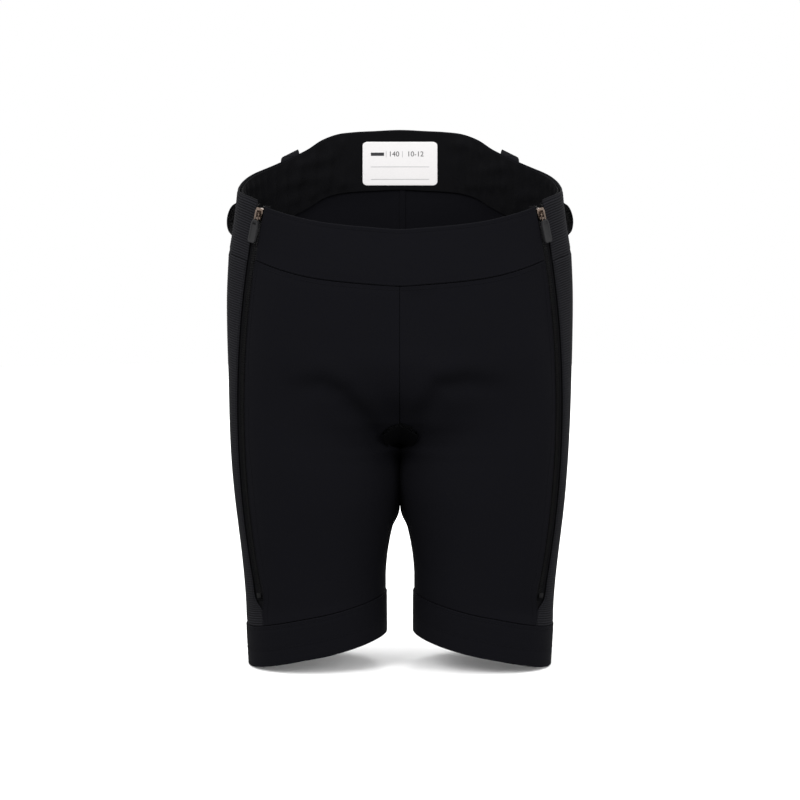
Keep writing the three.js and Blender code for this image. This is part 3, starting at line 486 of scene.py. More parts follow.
# %% Build a sheet of cloth
EDGE_REACH = 0.24 * MM  # each piece reaches this far into its seam
STITCH_DIP = 0.35 * MM
DIP_WIDTH = 0.9 * MM
EDGE_STEPS = 4
SIDES = ("bottom", "top", "start", "end")
EDGE_SHARE = 0.48  # of the thickness: how round an edge is
DIVE_START, DIVE_LENGTH = 0.5 * MM, 0.8 * MM  # a lap starts to sink here, and is down after this length
DIVE_STOPS = np.array([-0.6, -0.35, -0.1, 0.15, 0.4, 0.65]) * MM
LAP_STOPS = np.array([1, 0.97, 0.8, 0.4])  # shares of a lap's length
LAP_GAP = 0.35 * MM
MEETS_WITHIN = 3 * MM  # an edge nearer than this to its level slides onto it
MEETS_FADE = 12 * MM  # how far in the cloth slides with it
LAP_THIN = 0.65  # share of the thickness that is pressed away in a lap
seam_lines = []


def spread(length, cell, edge, low_reach, high_reach):
    """Places across a piece: even inside, crowded at a plain edge and where a lap dives."""
    bend = (edge + EDGE_REACH) * (1 - np.cos(np.linspace(0, math.pi / 2, EDGE_STEPS + 1)[:-1])) - EDGE_REACH
    low, high = (
        bend if reach == EDGE_REACH else np.concatenate([-reach * LAP_STOPS, DIVE_STOPS])
        for reach in (low_reach, high_reach)
    )
    inner = np.linspace(edge, length - edge, max(3, round((length - 2 * edge) / cell) + 1))
    return np.concatenate([low, inner, length - high[::-1]])


def mesh_object(name, vertices, faces, uvs=None, material=None):
    mesh = bpy.data.meshes.new(name)
    mesh.from_pydata(vertices, [], faces)
    if uvs is not None:
        layer = mesh.uv_layers.new(name="cut")
        corner = np.empty(len(mesh.loops), np.int32)
        mesh.loops.foreach_get("vertex_index", corner)
        layer.data.foreach_set("uv", np.asarray(uvs, np.float32)[corner].ravel())
    mesh.polygons.foreach_set("use_smooth", [True] * len(mesh.polygons))
    made = bpy.data.objects.new(name, mesh)
    bpy.context.scene.collection.objects.link(made)
    if material:
        mesh.materials.append(material)
    mesh.update()
    return made


def grid_faces(rows, columns, first, flip, closed):
    j, i = np.meshgrid(np.arange(rows - 1), np.arange(columns - (0 if closed else 1)), indexing="ij")
    nxt = (i + 1) % columns
    quads = np.stack([j * columns + i, j * columns + nxt, (j + 1) * columns + nxt, (j + 1) * columns + i], -1)
    quads = quads.reshape(-1, 4) + first
    return quads[:, ::-1] if flip else quads


def band_faces(ring_a, ring_b, flip):
    quads = np.stack([ring_a[:-1], ring_a[1:], ring_b[1:], ring_b[:-1]], -1)
    return quads[:, ::-1] if flip else quads


def normals(points):
    """Unit normals of a grid, all on one side of it."""
    normal = np.cross(np.gradient(points, axis=1), np.gradient(points, axis=0))
    return normal / np.maximum(np.linalg.norm(normal, axis=2, keepdims=True), 1e-12)


def facing_sign(points, tilt, closed):
    """1 if the grid's normals look the way its skin does, otherwise -1."""
    look = points - points.mean(axis=(0, 1)) if closed else tilt
    return 1 if (normals(points) * look).sum() > 0 else -1


def drawn_to_middle(base, near, level):
    """Slides an edge that runs close to the middle plane onto x = level."""
    column = np.abs(near[0]).argmin()
    missing = level - base[:, column, 0]
    weight = np.clip(2 - np.abs(missing) / MEETS_WITHIN, 0, 1)
    shift = (missing * weight)[:, None] * np.exp(-np.maximum(near, 0) / MEETS_FADE)
    return base + shift[..., None] * [1, 0, 0]


def shell_faces(numbers, count, flip, closed):
    """Faces of two skins and the rims between them."""
    rows, columns = numbers.shape
    faces = [grid_faces(rows, columns, 0, flip, closed), grid_faces(rows, columns, count, not flip, closed)]
    low, top = numbers[0], numbers[-1]
    if closed:
        low, top = np.append(low, low[0]), np.append(top, top[0])
    faces.append(band_faces(low, low + count, not flip))
    faces.append(band_faces(top, top + count, flip))
    if not closed:
        faces.append(band_faces(numbers[:, 0], numbers[:, 0] + count, flip))
        faces.append(band_faces(numbers[:, -1], numbers[:, -1] + count, not flip))
    return np.concatenate(faces)


def stitch_dips(from_side, place, seams):
    """How deep the lines of stitches press the cloth in. A seam may run over a part of its side only."""
    along, up = place["u"] / place["wide"], place["v"] / place["high"]
    dip = np.zeros(along.shape)
    for side, inset, *part in seams:
        low_share, high_share = part or (-1, 2)
        share = along if side in ("bottom", "top") else up
        sewn = (share > low_share) & (share < high_share)
        dip += STITCH_DIP * sewn * np.exp(-(((from_side[side] - inset * MM) / DIP_WIDTH) ** 2))
    return dip


def lap_shape(from_side, laps):
    """How far lapped edges sink, and how much of a lap each point is, from 0 to 1."""
    sunk = under = np.zeros(from_side["top"].shape)
    for side, _, depth in laps:
        t = np.clip((DIVE_START - from_side[side]) / DIVE_LENGTH, 0, 1)
        t = t * t * (3 - 2 * t)
        sunk, under = np.maximum(sunk, t * (depth * MM + LAP_GAP)), np.maximum(under, t)
    return sunk, under


def cut_size(base):
    """The longest row, the tallest column and the area of a grid of points."""
    along, up = np.diff(base, axis=1), np.diff(base, axis=0)
    cells = np.cross(np.gradient(base, axis=1), np.gradient(base, axis=0))
    longest = np.linalg.norm(along, axis=2).sum(axis=1).max()
    tallest = np.linalg.norm(up, axis=2).sum(axis=0).max()
    return [float(longest), float(tallest), float(np.linalg.norm(cells, axis=2)[:-1, :-1].sum())]


def sheet_piece(
    node, inside, cell, thickness, material, lift=None, seams=(), trim=None, edge=None, laps=(), meets=None,
    patch=None,
):
    """The finished cloth of a CAD piece.

    lift(place) gives how far the cloth stands out, in metres. A seam is a side, a distance from it and
    perhaps two shares of the way along. A lap is a side, a length and the depth of its neighbour. trim
    moves a row's places, meets draws a side to a distance from the middle plane, and patch gives a second
    material to the points that pass its test.
    """
    points, tilt, closed = skin_table(node, inside)
    wide, high, at = surface(points, closed)
    edge = edge or thickness * EDGE_SHARE
    reach = dict.fromkeys(SIDES, EDGE_REACH)
    reach.update({side: long * MM for side, long, _ in laps})
    if closed:
        u = np.linspace(0, wide, round(wide / cell[0]) + 1)
    else:
        u = spread(wide, cell[0], edge, reach["start"], reach["end"])
    v = spread(high, cell[1], edge, reach["bottom"], reach["top"])
    base = at(u, v)
    if trim:
        base = np.stack([at(trim(u, y, wide, high), [y])[0] for y in v])
    across, rise = np.meshgrid(u, v)
    from_side = {"bottom": rise, "top": high - rise, "start": across, "end": wide - across}
    if meets:
        base = drawn_to_middle(base, from_side[meets[0]], meets[1] * MM)
    normal = normals(base) * facing_sign(points, tilt, closed)
    place = {"p": base, "u": across, "v": rise, "wide": wide, "high": high, "n": normal}

    open_sides = SIDES[:2] if closed else SIDES
    rim = np.minimum.reduce([from_side[side] + reach[side] for side in open_sides])
    fold = edge * (1 - np.sqrt(1 - np.clip(1 - rim / (edge + EDGE_REACH), 0, 1) ** 2))
    sunk, under = lap_shape(from_side, laps)
    thin = 1 - LAP_THIN * under
    stand = lift(place) if lift else 0
    stand = stand - stitch_dips(from_side, place, seams) - sunk
    skin_out = base + normal * (stand - fold * thin)[..., None]
    skin_in = base + normal * (stand - (thickness - fold) * thin)[..., None]
    if closed:
        skin_out, skin_in = skin_out[:, :-1], skin_in[:, :-1]

    columns = skin_out.shape[1]
    count = skin_out.shape[0] * columns
    flip = np.cross(base[0, 1] - base[0, 0], base[1, 0] - base[0, 0]) @ normal[0, 0] < 0
    faces = shell_faces(np.arange(count).reshape(-1, columns), count, flip, closed)
    uv = np.stack([across[:, :columns], rise[:, :columns]], -1).reshape(-1, 2)
    both = np.concatenate([skin_out.reshape(-1, 3), skin_in.reshape(-1, 3)])
    made = mesh_object(node + "_sewn", both, faces.tolist(), np.concatenate([uv, uv]), material)
    if patch:
        made.data.materials.append(patch[0])
        chosen = np.tile(patch[1](place)[:, :columns].ravel(), 2)
        made.data.polygons.foreach_set("material_index", chosen[faces[:, 0]].astype(np.int32))
    for side, inset, *part in seams:
        note_seam(skin_out, normal[:, :columns], from_side[side][:, :columns], side, inset * MM, part, closed)
    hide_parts(node)
    made["cut"] = cut_size(base)
    return made, at, place


def note_seam(points, facing, distance, side, inset, part, closed):
    """Notes the line on the cloth that runs at an inset from one edge."""
    if side in ("start", "end"):
        points, facing, distance = (np.swapaxes(a, 0, 1) for a in (points, facing, distance))
    row = np.abs(distance[:, distance.shape[1] // 2] - inset).argmin()
    line, out = points[row], facing[row]
    if closed:
        line, out = np.concatenate([line, line[:1]]), np.concatenate([out, out[:1]])
    if part:
        first, last = (round(share * len(line)) for share in part)
        line, out = line[first:last], out[first:last]
    seam_lines.append((line, out))


LEAST_FILL = 0.31  # a cut piece fills at least this share of its box


def declare(made):
    """Rides on its body and says what size the cloth was cut to."""
    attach(made, "shorts")
    wide, high, area = made["cut"]
    del made["cut"]
    area = min(max(area, LEAST_FILL * wide * high), wide * high)
    print(made.name, f"cut {wide / MM:.0f} x {high / MM:.0f} mm, {len(made.data.polygons)} faces")


# %% [markdown]
# Cloth on a body is never quite smooth. Small tools shape it: a slow waver for the drape, a crease
# along a line of points, gathers for cloth that elastic pulls together, and a fade that keeps all
# of them away from the seams.

# %% Drape tools
CREASE_FROM, CREASE_SPAN = 0.04, 0.72  # the part of a hump that a crease follows along its length


def waver(place, length_mm, seed):
    """Slow waves between -1 and 1, the same on every run."""
    draw = np.random.default_rng(seed)
    total = np.zeros(place["u"].shape)
    for _ in range(5):
        direction = draw.normal(size=3)
        direction *= 2 * math.pi / (length_mm * MM) / np.linalg.norm(direction) * draw.uniform(0.7, 1.3)
        total += np.sin(place["p"] @ direction + draw.uniform(0, 2 * math.pi))
    return total / 3


def crease(place, path_mm, width_mm):
    """1 on a line of (x, z) points seen from the front. It fades beside the line and at its start."""
    flat = place["p"][..., [0, 2]]
    best = np.full(flat.shape[:2], 1e9)
    fade = np.ones(flat.shape[:2])
    path = np.array(path_mm) * MM
    lengths = np.linalg.norm(np.diff(path, axis=0), axis=1)
    run = run_along(path)
    for k, (a, b) in enumerate(zip(path, path[1:])):
        t = np.clip(((flat - a) @ (b - a)) / lengths[k] ** 2, 0, 1)
        away_from = np.linalg.norm(flat - (a + t[..., None] * (b - a)), axis=2)
        closer = away_from < best
        best = np.where(closer, away_from, best)
        share = (run[k] + t * lengths[k]) / run[-1]
        fade = np.where(closer, np.sin(math.pi * (share * CREASE_SPAN + CREASE_FROM)) ** 0.7, fade)
    return np.exp(-((best / (width_mm * MM)) ** 2)) * fade


def edge_fade(place, width_mm):
    """0 at every edge of the piece and 1 further in."""
    near = np.minimum.reduce([place["u"], place["wide"] - place["u"], place["v"], place["high"] - place["v"]])
    t = np.clip(near / (width_mm * MM), 0, 1)
    return t * t * (3 - 2 * t)


def gathers(place, pitch_mm, seed):
    """Upright folds from 0 to 1, unevenly spaced, that wander a little as they go up."""
    draw = np.random.default_rng(seed)
    shift = 0
    for k in range(4):
        shift = shift + draw.uniform(0.4, 1.0) * np.sin(place["u"] / MM / (17 + 11 * k) + draw.uniform(0, 6))
    lean = 0.5 * np.sin(place["v"] / MM / 9 + place["u"] / MM / 23)
    fold = 0.5 + 0.5 * np.sin(2 * math.pi * place["u"] / (pitch_mm * MM) + 1.6 * shift + lean)
    return fold**1.4


# %% [markdown]
# The front panels are softshell, sewn together down the middle. Bending at the hip leaves creases
# that run from each groin out over the thigh, and the cloth bows a little between them. Both panels
# stop at the middle plane, and there the left one runs on under the right one.

# %% Front panels
TOUCH = 0.86 * MM
TOUCH_LEVEL = (-250, -240)  # mm; the thighs touch above this and part below it
FORK_LEVEL = (-202, -186)  # mm; towards the gusset the cloth bulges further


def thighs_touch(place):
    """How far the cloth bulges where the two legs press on each other."""
    z = place["p"][..., 2] / MM
    touching, forking = (np.clip((z - low) / (high - low), 0, 1) for low, high in (TOUCH_LEVEL, FORK_LEVEL))
    facing = np.abs(place["n"][..., 0]) ** 1.5
    return TOUCH * (touching + 1.4 * forking) * facing * np.exp(-((place["p"][..., 0] / (6 * MM)) ** 2))


SHELL = 1.8 * MM
FINE = (2.4 * MM, 2.4 * MM)
GROIN_CREASES = {
    "left": [
        [(-88, -136), (-66, -133), (-48, -142), (-26, -171), (-9, -199)],
        [(-60, -176), (-30, -196), (-12, -214)],
    ],
    "right": [
        [(82, -135), (57, -131), (33, -135), (19, -160), (8, -199)],
        [(64, -170), (34, -192), (13, -216)],
    ],
}


def front_drape(side, seed):
    def lift(place):
        main, second = GROIN_CREASES[side]
        belly, thigh = ([(x, z + step) for x, z in main] for step in (11, -24))
        folds = 2.4 * crease(place, belly, 12) - 4.8 * crease(place, main, 10)
        folds += 1.6 * crease(place, thigh, 16) - 1.2 * crease(place, second, 9)
        folds += 0.9 * waver(place, 130, seed)
        return folds * edge_fade(place, 10) * MM + thighs_touch(place)

    return lift


SEAM_LAP = 4  # mm
MEETING = 0.06  # mm from the middle plane
FRONT_LAPS = [("top", SEAM_LAP, 1.8), ("bottom", SEAM_LAP, 1.4)]

for side, sign in (("left", -1), ("right", 1)):
    front, _, _ = sheet_piece(
        f"front_panel_{side}", (0.065 * sign, 0, 0), FINE, SHELL, SOFTSHELL,
        front_drape(side, 11 + sign), [("end", 1.6), ("end", 6.5), ("top", 2.2)],
        laps=FRONT_LAPS + ([("start", SEAM_LAP, 1.8)] if side == "left" else []),
        meets=("start", MEETING * sign),
    )
    declare(front)

# %% [markdown]
# The side panels carry the ribs. With six rows of faces to each rib the cords have a round back and
# a tight groove, and they flatten out where the cloth is caught in a seam.

# %% Side panels
RIB_HEIGHT = 0.55 * MM
RIB_ROWS = 6
RIB_CELL = (4.5 * MM, RIB_PITCH / RIB_ROWS)
BACK_LAPS = [("top", SEAM_LAP, 1.4), ("bottom", SEAM_LAP, 1.4)]


def cords(place):
    """Round cords with tight grooves, flat where the cloth is caught in a seam."""
    return RIB_HEIGHT * np.abs(np.sin(math.pi * place["v"] / RIB_PITCH)) ** 0.7 * edge_fade(place, 3)


def rib_lift(place):
    return cords(place) + 0.5 * MM * waver(place, 110, 5) * edge_fade(place, 12)


for side, sign in (("left", -1), ("right", 1)):
    panel, _, _ = sheet_piece(
        f"side_panel_{side}", (0.065 * sign, 0, 0), RIB_CELL, SHELL, RIBBED, rib_lift, [("start", 1.6)],
        laps=BACK_LAPS,
    )
    declare(panel)

# %% [markdown]
# The back panels are cut from the same softshell as the front. They are roomier, so they hang in
# longer waves, with shallow creases under the seat.

# %% Back panels and gusset
SEAT_CREASES = {
    "left": [(-100, -176), (-60, -190), (-16, -186)],
    "right": [(98, -180), (58, -191), (16, -184)],
}


def back_drape(side, seed):
    def lift(place):
        folds = 1.1 * waver(place, 120, seed) - 1.3 * crease(place, SEAT_CREASES[side], 10)
        return folds * edge_fade(place, 12) * MM + thighs_touch(place)

    return lift


for side, sign in (("left", -1), ("right", 1)):
    back, _, _ = sheet_piece(
        f"back_panel_{side}", (0.065 * sign, 0, 0), FINE, SHELL, SOFTSHELL,
        back_drape(side, 31 + sign), [("start", 2.2), ("top", 2.2)],
        laps=BACK_LAPS + [("start", SEAM_LAP, 1.8)] + ([("end", SEAM_LAP, 1.8)] if side == "left" else []),
        meets=("end", MEETING * sign),
    )
    declare(back)


def merged_copy(node, name):
    """A copy of a CAD node's mesh with its loose triangles joined."""
    made = bpy.data.objects.new(name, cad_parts[node].data.copy())
    made.data.materials.clear()
    bpy.context.scene.collection.objects.link(made)
    bpy.ops.object.select_all(action="DESELECT")
    bpy.context.view_layer.objects.active = made
    made.select_set(True)
    bpy.ops.object.mode_set(mode="EDIT")
    bpy.ops.mesh.select_all(action="SELECT")
    bpy.ops.mesh.remove_doubles(threshold=0.01 * MM)
    return made


def apply_modifier(made, kind, **settings):
    modifier = made.modifiers.new(kind.title(), kind)
    for key, value in settings.items():
        setattr(modifier, key, value)
    bpy.context.view_layer.objects.active = made
    bpy.ops.object.modifier_apply(modifier=modifier.name)


# The gusset's edges lie behind the panels, so it is wider than its opening. It sags a little.
GUSSET_SPREAD = Vector((1.3, 1.04, 1))
GUSSET_DROP = 3.4 * MM
gusset = merged_copy("crotch_gusset", "crotch_gusset_sewn")
bpy.ops.mesh.tris_convert_to_quads()
bpy.ops.mesh.select_all(action="DESELECT")
bpy.ops.mesh.edges_select_sharp(sharpness=math.radians(70))
bpy.ops.transform.edge_crease(value=0.8)
bpy.ops.object.mode_set(mode="OBJECT")
apply_modifier(gusset, "SUBSURF", levels=2, render_levels=2)
gusset_middle = sum((v.co for v in gusset.data.vertices), Vector()) / len(gusset.data.vertices)
for vertex in gusset.data.vertices:
    spread_out = (vertex.co - gusset_middle) * GUSSET_SPREAD
    vertex.co = gusset_middle + spread_out + Vector((0, 0, -GUSSET_DROP))
bpy.ops.object.shade_smooth_by_angle(angle=math.radians(50))
# Painted shade: the gusset's near-black colour stands in for the shadow in the crotch.
gusset.data.materials.append(GUSSET_PAINTED_SHADE_TRICOT)
gusset_area = sum(f.area for f in gusset.data.polygons) / 2
gusset["cut"] = [math.sqrt(gusset_area), 2 * math.sqrt(gusset_area), gusset_area]
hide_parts("crotch_gusset")
declare(gusset)

# %% [markdown]
# The cuffs are folded bands that stand a little proud of the leg. A cuff is a closed ring, so its
# grid wraps round and its first and last columns are the same.

# %% Cuffs
CUFF = 2.4 * MM
CUFF_EDGE = 0.5 * MM  # pressed flat, so its edge turns sharply


def cuff_lift(place):
    from_top = (place["high"] - place["v"]) / MM
    pucker = np.sin(2 * math.pi * place["u"] / (7 * MM)) * np.exp(-((from_top / 5) ** 2))
    return (0.35 * waver(place, 60, 3) + 0.12 * pucker) * MM


for side, sign in (("left", -1), ("right", 1)):
    cuff, _, _ = sheet_piece(
        f"leg_cuff_{side}", (0.072 * sign, 0, 0), (2.6 * MM, 2 * MM), CUFF, SOFTSHELL, cuff_lift,
        [("top", 2.4), ("bottom", 14)], edge=CUFF_EDGE,
    )
    declare(cuff)

# %% [markdown]
# The waistband has a plain front part and an elasticated back part. The back part is three layers:
# the outer cloth, the elastic, and the inner cloth. Elastic draws both cloths into upright gathers,
# outwards on the outside and inwards on the inside, and they die out beside the label, which is stiff.
# Over the side panels the outer cloth is ribbed like them, so the ribs run right up to the edge.

# %% Waistbands
BAND_OUTER = 1.4 * MM
LABEL_HALF = 38 * MM
LABEL_FADE = 18 * MM  # the gathers beside the label reach their depth this far from it
RIBBED_FROM = 0.54  # share of the way from the band's middle to its ends
RIBBED_FADE = 0.1  # share of that way in which the gathers die out
INSIDE_HEART = (0, 0, 0)


def front_band_lift(place):
    pucker = np.sin(place["u"] / MM * 0.9) * np.exp(-(place["v"] / (4 * MM)) ** 2)
    return (0.4 * waver(place, 90, 8) * edge_fade(place, 8) + 0.1 * pucker) * MM


def from_middle(place):
    """Share of the way from the band's middle to its ends."""
    return np.abs(2 * place["u"] / place["wide"] - 1)


def back_band_lift(place):
    gathered = np.clip((RIBBED_FROM - from_middle(place)) / RIBBED_FADE, 0, 1)
    drawn = 1.1 * MM * gathers(place, 11, 21) * edge_fade(place, 12) * gathered
    return np.where(from_middle(place) > RIBBED_FROM, cords(place), drawn)


def facing_lift(place):
    side_on = np.clip((np.abs(place["p"][..., 0]) - LABEL_HALF) / LABEL_FADE, 0, 1)
    fold = gathers(place, 13, 22) + 0.5 * waver(place, 34, 24) + 0.4 * waver(place, 17, 25)
    return -1.9 * np.clip(fold, 0, 1.6) * side_on * edge_fade(place, 9) * MM


band, _, _ = sheet_piece(
    "front_waistband", INSIDE_HEART, (2.2 * MM, 2 * MM), SHELL, SOFTSHELL, front_band_lift,
    [("top", 2.4), ("bottom", 1.8)],
)
declare(band)
band, _, _ = sheet_piece(
    "back_waistband", INSIDE_HEART, (1.9 * MM, RIB_PITCH / RIB_ROWS), BAND_OUTER, SOFTSHELL, back_band_lift,
    [("top", 2.4), ("bottom", 1.8, 0.5 - RIBBED_FROM / 2, 0.5 + RIBBED_FROM / 2)],
    patch=(RIBBED, lambda place: from_middle(place) > RIBBED_FROM),
)
declare(band)
elastic, _, _ = sheet_piece("waist_elastic", INSIDE_HEART, (4 * MM, 3 * MM), 1.0 * MM, ELASTIC_KNIT)
declare(elastic)
facing, _, _ = sheet_piece(
    "waistband_facing", INSIDE_HEART, (1.6 * MM, 2 * MM), 0.8 * MM, TRICOT, facing_lift,
)
declare(facing)

# %% [markdown]
# The size label is white satin, sewn flat inside the back. Its corners are rounded by drawing each
# row of points in towards the middle. It carries a plain bar, size figures and two ruled lines for
# a name; all are thin prints that follow the label's curve.

# %% Label
LABEL = 0.5 * MM
LABEL_CORNER = 3.2 * MM
PRINT_LIFT = 0.04 * MM
PRINT_THICK = 0.04 * MM
FIGURES = [("140", -5.5), ("10-12", 14)]
FIGURE_SIZE = 6.6 * MM
FIGURE_LEVEL = 8.6 * MM
RULES = [(-2.9, 53), (-14.2, 53)]  # height above the label's middle and length, in mm


def rounded(u, y, wide, high):
    """Draws a row of places in, so that the label's corners are round."""
    past = max(LABEL_CORNER - min(y, high - y), 0)
    cut = LABEL_CORNER - math.sqrt(max(LABEL_CORNER**2 - min(past, LABEL_CORNER) ** 2, 0))
    return wide / 2 + (u - wide / 2) * (1 - 2 * cut / wide)


label, label_at, label_place = sheet_piece(
    "name_label", INSIDE_HEART, (1.5 * MM, 1.2 * MM), LABEL, SATIN, trim=rounded, edge=0.2 * MM,
)
label_wide, label_high = label_place["wide"], label_place["high"]
declare(label)


def on_label(x, y, lift):
    """A point on the label's face, x and y from its middle."""
    u, v = label_wide / 2 + x, label_high / 2 + y
    step = 0.5 * MM
    spot = label_at([u], [v])[0, 0]
    along = label_at([u + step], [v])[0, 0] - spot
    up = label_at([u], [v + step])[0, 0] - spot
    face = np.cross(along, up)
    face /= np.linalg.norm(face)
    if face[1] > 0:
        face = -face
    return spot + face * (LABEL + lift)


def printed(made, name, material):
    """Lays a flat solid on the label: x and y are its place, z its height."""
    made.name = name
    for vertex in made.data.vertices:
        vertex.co = on_label(vertex.co.x, vertex.co.y, PRINT_LIFT + vertex.co.z)
    made.data.materials.clear()
    made.data.materials.append(material)
    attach(made, "shorts")


def place_applied(made):
    bpy.ops.object.select_all(action="DESELECT")
    made.select_set(True)
    bpy.context.view_layer.objects.active = made
    bpy.ops.object.transform_apply(location=True, rotation=True, scale=True)


for k, (words, x_mm) in enumerate(FIGURES):
    bpy.ops.object.text_add(location=(x_mm * MM, FIGURE_LEVEL, 0))
    figures = bpy.context.object
    figures.data.body = words
    figures.data.size = FIGURE_SIZE
    figures.data.align_x = "CENTER"
    figures.data.align_y = "CENTER"
    figures.data.extrude = PRINT_THICK / 2
    bpy.ops.object.select_all(action="DESELECT")
    figures.select_set(True)
    bpy.ops.object.convert(target="MESH")
    place_applied(figures)
    printed(figures, f"label_figures_{k}", PRINT)


def printed_bar(name, x_mm, y_mm, wide_mm, high_mm, material):
    bpy.ops.mesh.primitive_cube_add(size=1, location=(x_mm * MM, y_mm * MM, 0))
    bar = bpy.context.object
    bar.scale = (wide_mm * MM, high_mm * MM, PRINT_THICK)
    place_applied(bar)
    bpy.ops.object.mode_set(mode="EDIT")
    bpy.ops.mesh.select_all(action="SELECT")
    bpy.ops.mesh.subdivide(number_cuts=max(1, int(max(wide_mm, high_mm) / 4)))
    bpy.ops.object.mode_set(mode="OBJECT")
    printed(bar, name, material)


printed_bar("label_bar", -20.5, FIGURE_LEVEL / MM, 12, 3, PRINT)
for k, (y_mm, long_mm) in enumerate(RULES):
    printed_bar(f"label_rule_{k}", 0, y_mm, long_mm, 0.45, RULE)
for k, x_mm in enumerate((-12.6, 2.2)):
    printed_bar(f"label_divider_{k}", x_mm, FIGURE_LEVEL / MM, 0.4, 5.6, RULE)
print("label", [round(x / MM) for x in (label_wide, label_high)], "mm")

# %% [markdown]
# A belt loop is a flat strap, sewn down at both ends and standing off the band between them. The
# frame's solid gives its bends; the strap here runs through them on a smooth line, with round edges.

# %% Belt loops
STRAP_SAMPLES = 44
STRAP_ROUND = 10
STRAP_TIPS = [(0.35, 0.86), (0.8, 0.94), (0.95, 0.985)]  # shares of the thickness and width at an end
STRAP_SEAMS = (0.05, 0.11, 0.89, 0.95)  # shares of the length where rows of stitches cross the strap
STRAP_SEWN = 0.85  # share of the width that a row of stitches takes
BACK_LOOP_SLANT = 0.42  # the back loops' tops follow the falling rim


def node_axes(node):
    """A solid's middle and its three own directions, longest first."""
    points = np.array([v.co[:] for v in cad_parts[node].data.vertices])
    points = np.unique(points.round(7), axis=0)
    middle = points.mean(axis=0)
    _, _, axes = np.linalg.svd(points - middle)
    return points, middle, axes


def belt_loop(node, slant):
    """slant is how fast the strap's top edge falls across its width, towards the garment's side."""
    points, middle, axes = node_axes(node)
    axes[0] *= np.sign(axes[0, 2])
    axes[1] *= np.sign(axes[1, 0] * middle[0])
    local = (points - middle) @ axes.T
    half_wide = local[:, 1].max()
    side_on = local[local[:, 1] > 0.5 * half_wide]
    side_on = side_on[np.argsort(side_on[:, 0])]
    pairs = side_on.reshape(-1, 2, 3)
    path = pairs.mean(axis=1)[:, [0, 2]]
    half_thick = np.abs(pairs[:, 0, 2] - pairs[:, 1, 2]).mean() / 2
    run = run_along(path)
    line = smooth(path, run, np.linspace(0, run[-1], STRAP_SAMPLES))
    heading = unit(np.gradient(line, axis=0))
    turn = np.linspace(0, 2 * math.pi, 4 * STRAP_ROUND, endpoint=False)
    wide = half_wide * np.sign(np.cos(turn)) * np.abs(np.cos(turn)) ** 0.35
    thick = half_thick * np.sign(np.sin(turn)) * np.abs(np.sin(turn)) ** 0.5
    rings, uvs = [], []
    for k, ((x, z), (dx, dz)) in enumerate(zip(line, heading)):
        end = min(k, STRAP_SAMPLES - 1 - k)
        shrink, narrow = STRAP_TIPS[end] if end < len(STRAP_TIPS) else (1, 1)
        fall = slant * wide * max(2 * k / STRAP_SAMPLES - 1, 0) ** 0.6
        ring = np.stack([x - fall - dz * thick * shrink, wide * narrow, z + dx * thick * shrink], 1)
        rings.append(ring @ axes + middle)
        uvs.extend([(w, run[-1] * k / STRAP_SAMPLES) for w in wide])
    count = len(turn)
    number = np.arange(STRAP_SAMPLES * count).reshape(STRAP_SAMPLES, count)
    faces = []
    for k in range(STRAP_SAMPLES - 1):
        a, b = number[k], number[k + 1]
        faces += np.stack([a, np.roll(a, -1), np.roll(b, -1), b], 1).tolist()
    faces += [number[0][::-1].tolist(), number[-1].tolist()]
    made = mesh_object(node + "_strap", np.concatenate(rings), faces, uvs, WEBBING)
    volume_sign(made)
    for share in STRAP_SEAMS:
        at_k = round(share * (STRAP_SAMPLES - 1))
        (x, z), (dx, dz) = line[at_k], heading[at_k]
        for face in (-1, 1):
            span = np.linspace(-STRAP_SEWN, STRAP_SEWN, 9)[:, None] * half_wide
            out_x, out_z = x - face * dz * half_thick, z + face * dx * half_thick
            base = np.concatenate([np.full_like(span, out_x), span, np.full_like(span, out_z)], 1)
            facing = np.array([-dz * face, 0, dx * face]) @ axes
            seam_lines.append((base @ axes + middle, np.tile(facing, (len(span), 1))))
    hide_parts(node)
    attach(made, "shorts")
    print(made.name, f"{2 * half_wide / MM:.0f} mm wide, {run[-1] / MM:.0f} mm long")


def volume_sign(made):
    """Turns a closed mesh's faces outwards."""
    solid = bmesh.new()
    solid.from_mesh(made.data)
    if solid.calc_volume(signed=True) < 0:
        bmesh.ops.reverse_faces(solid, faces=solid.faces)
    solid.to_mesh(made.data)
    solid.free()


for side in ("left", "right"):
    belt_loop(f"belt_loop_side_{side}", 0)
    belt_loop(f"belt_loop_back_{side}", BACK_LOOP_SLANT)

# %% [markdown]
# A zip is two woven tapes with a nylon coil sewn along each. Each turn of a coil is one tooth: a
# rounded loop whose head reaches between two heads of the other side. One tooth is modelled and
# copied along the zip's line, which the frame's two coil strips give.

# %% Zip tapes and teeth
TAPE = 0.7 * MM
TAPE_END = 24  # mm; below the zip both tapes run on behind the seam and close its foot
FOOT_TOP = 8.0 * MM  # up to here each tape is wide enough to meet the other
FOOT_REACH = {"front": 3.9 * MM, "rear": 3.6 * MM}
TOOTH_PITCH = 1.5 * MM
TOOTH_OVERLAP = 0.45 * MM  # a head reaches this far past the middle line
TOOTH_SHARE = 0.62  # of the pitch that a tooth fills
TOOTH_HEIGHT = 1.8 * MM
BARE_FOOT, BARE_TOP = 1 * MM, 0.8 * MM  # the coil has no teeth this close to its ends

bpy.ops.mesh.primitive_uv_sphere_add(segments=8, ring_count=6, radius=1)
tooth_ball = bpy.context.object
tooth_points = np.array([v.co[:] for v in tooth_ball.data.vertices])
tooth_points = np.sign(tooth_points) * np.abs(tooth_points) ** 0.75  # squarer than a ball
tooth_faces = [list(f.vertices) for f in tooth_ball.data.polygons]
bpy.data.objects.remove(tooth_ball)


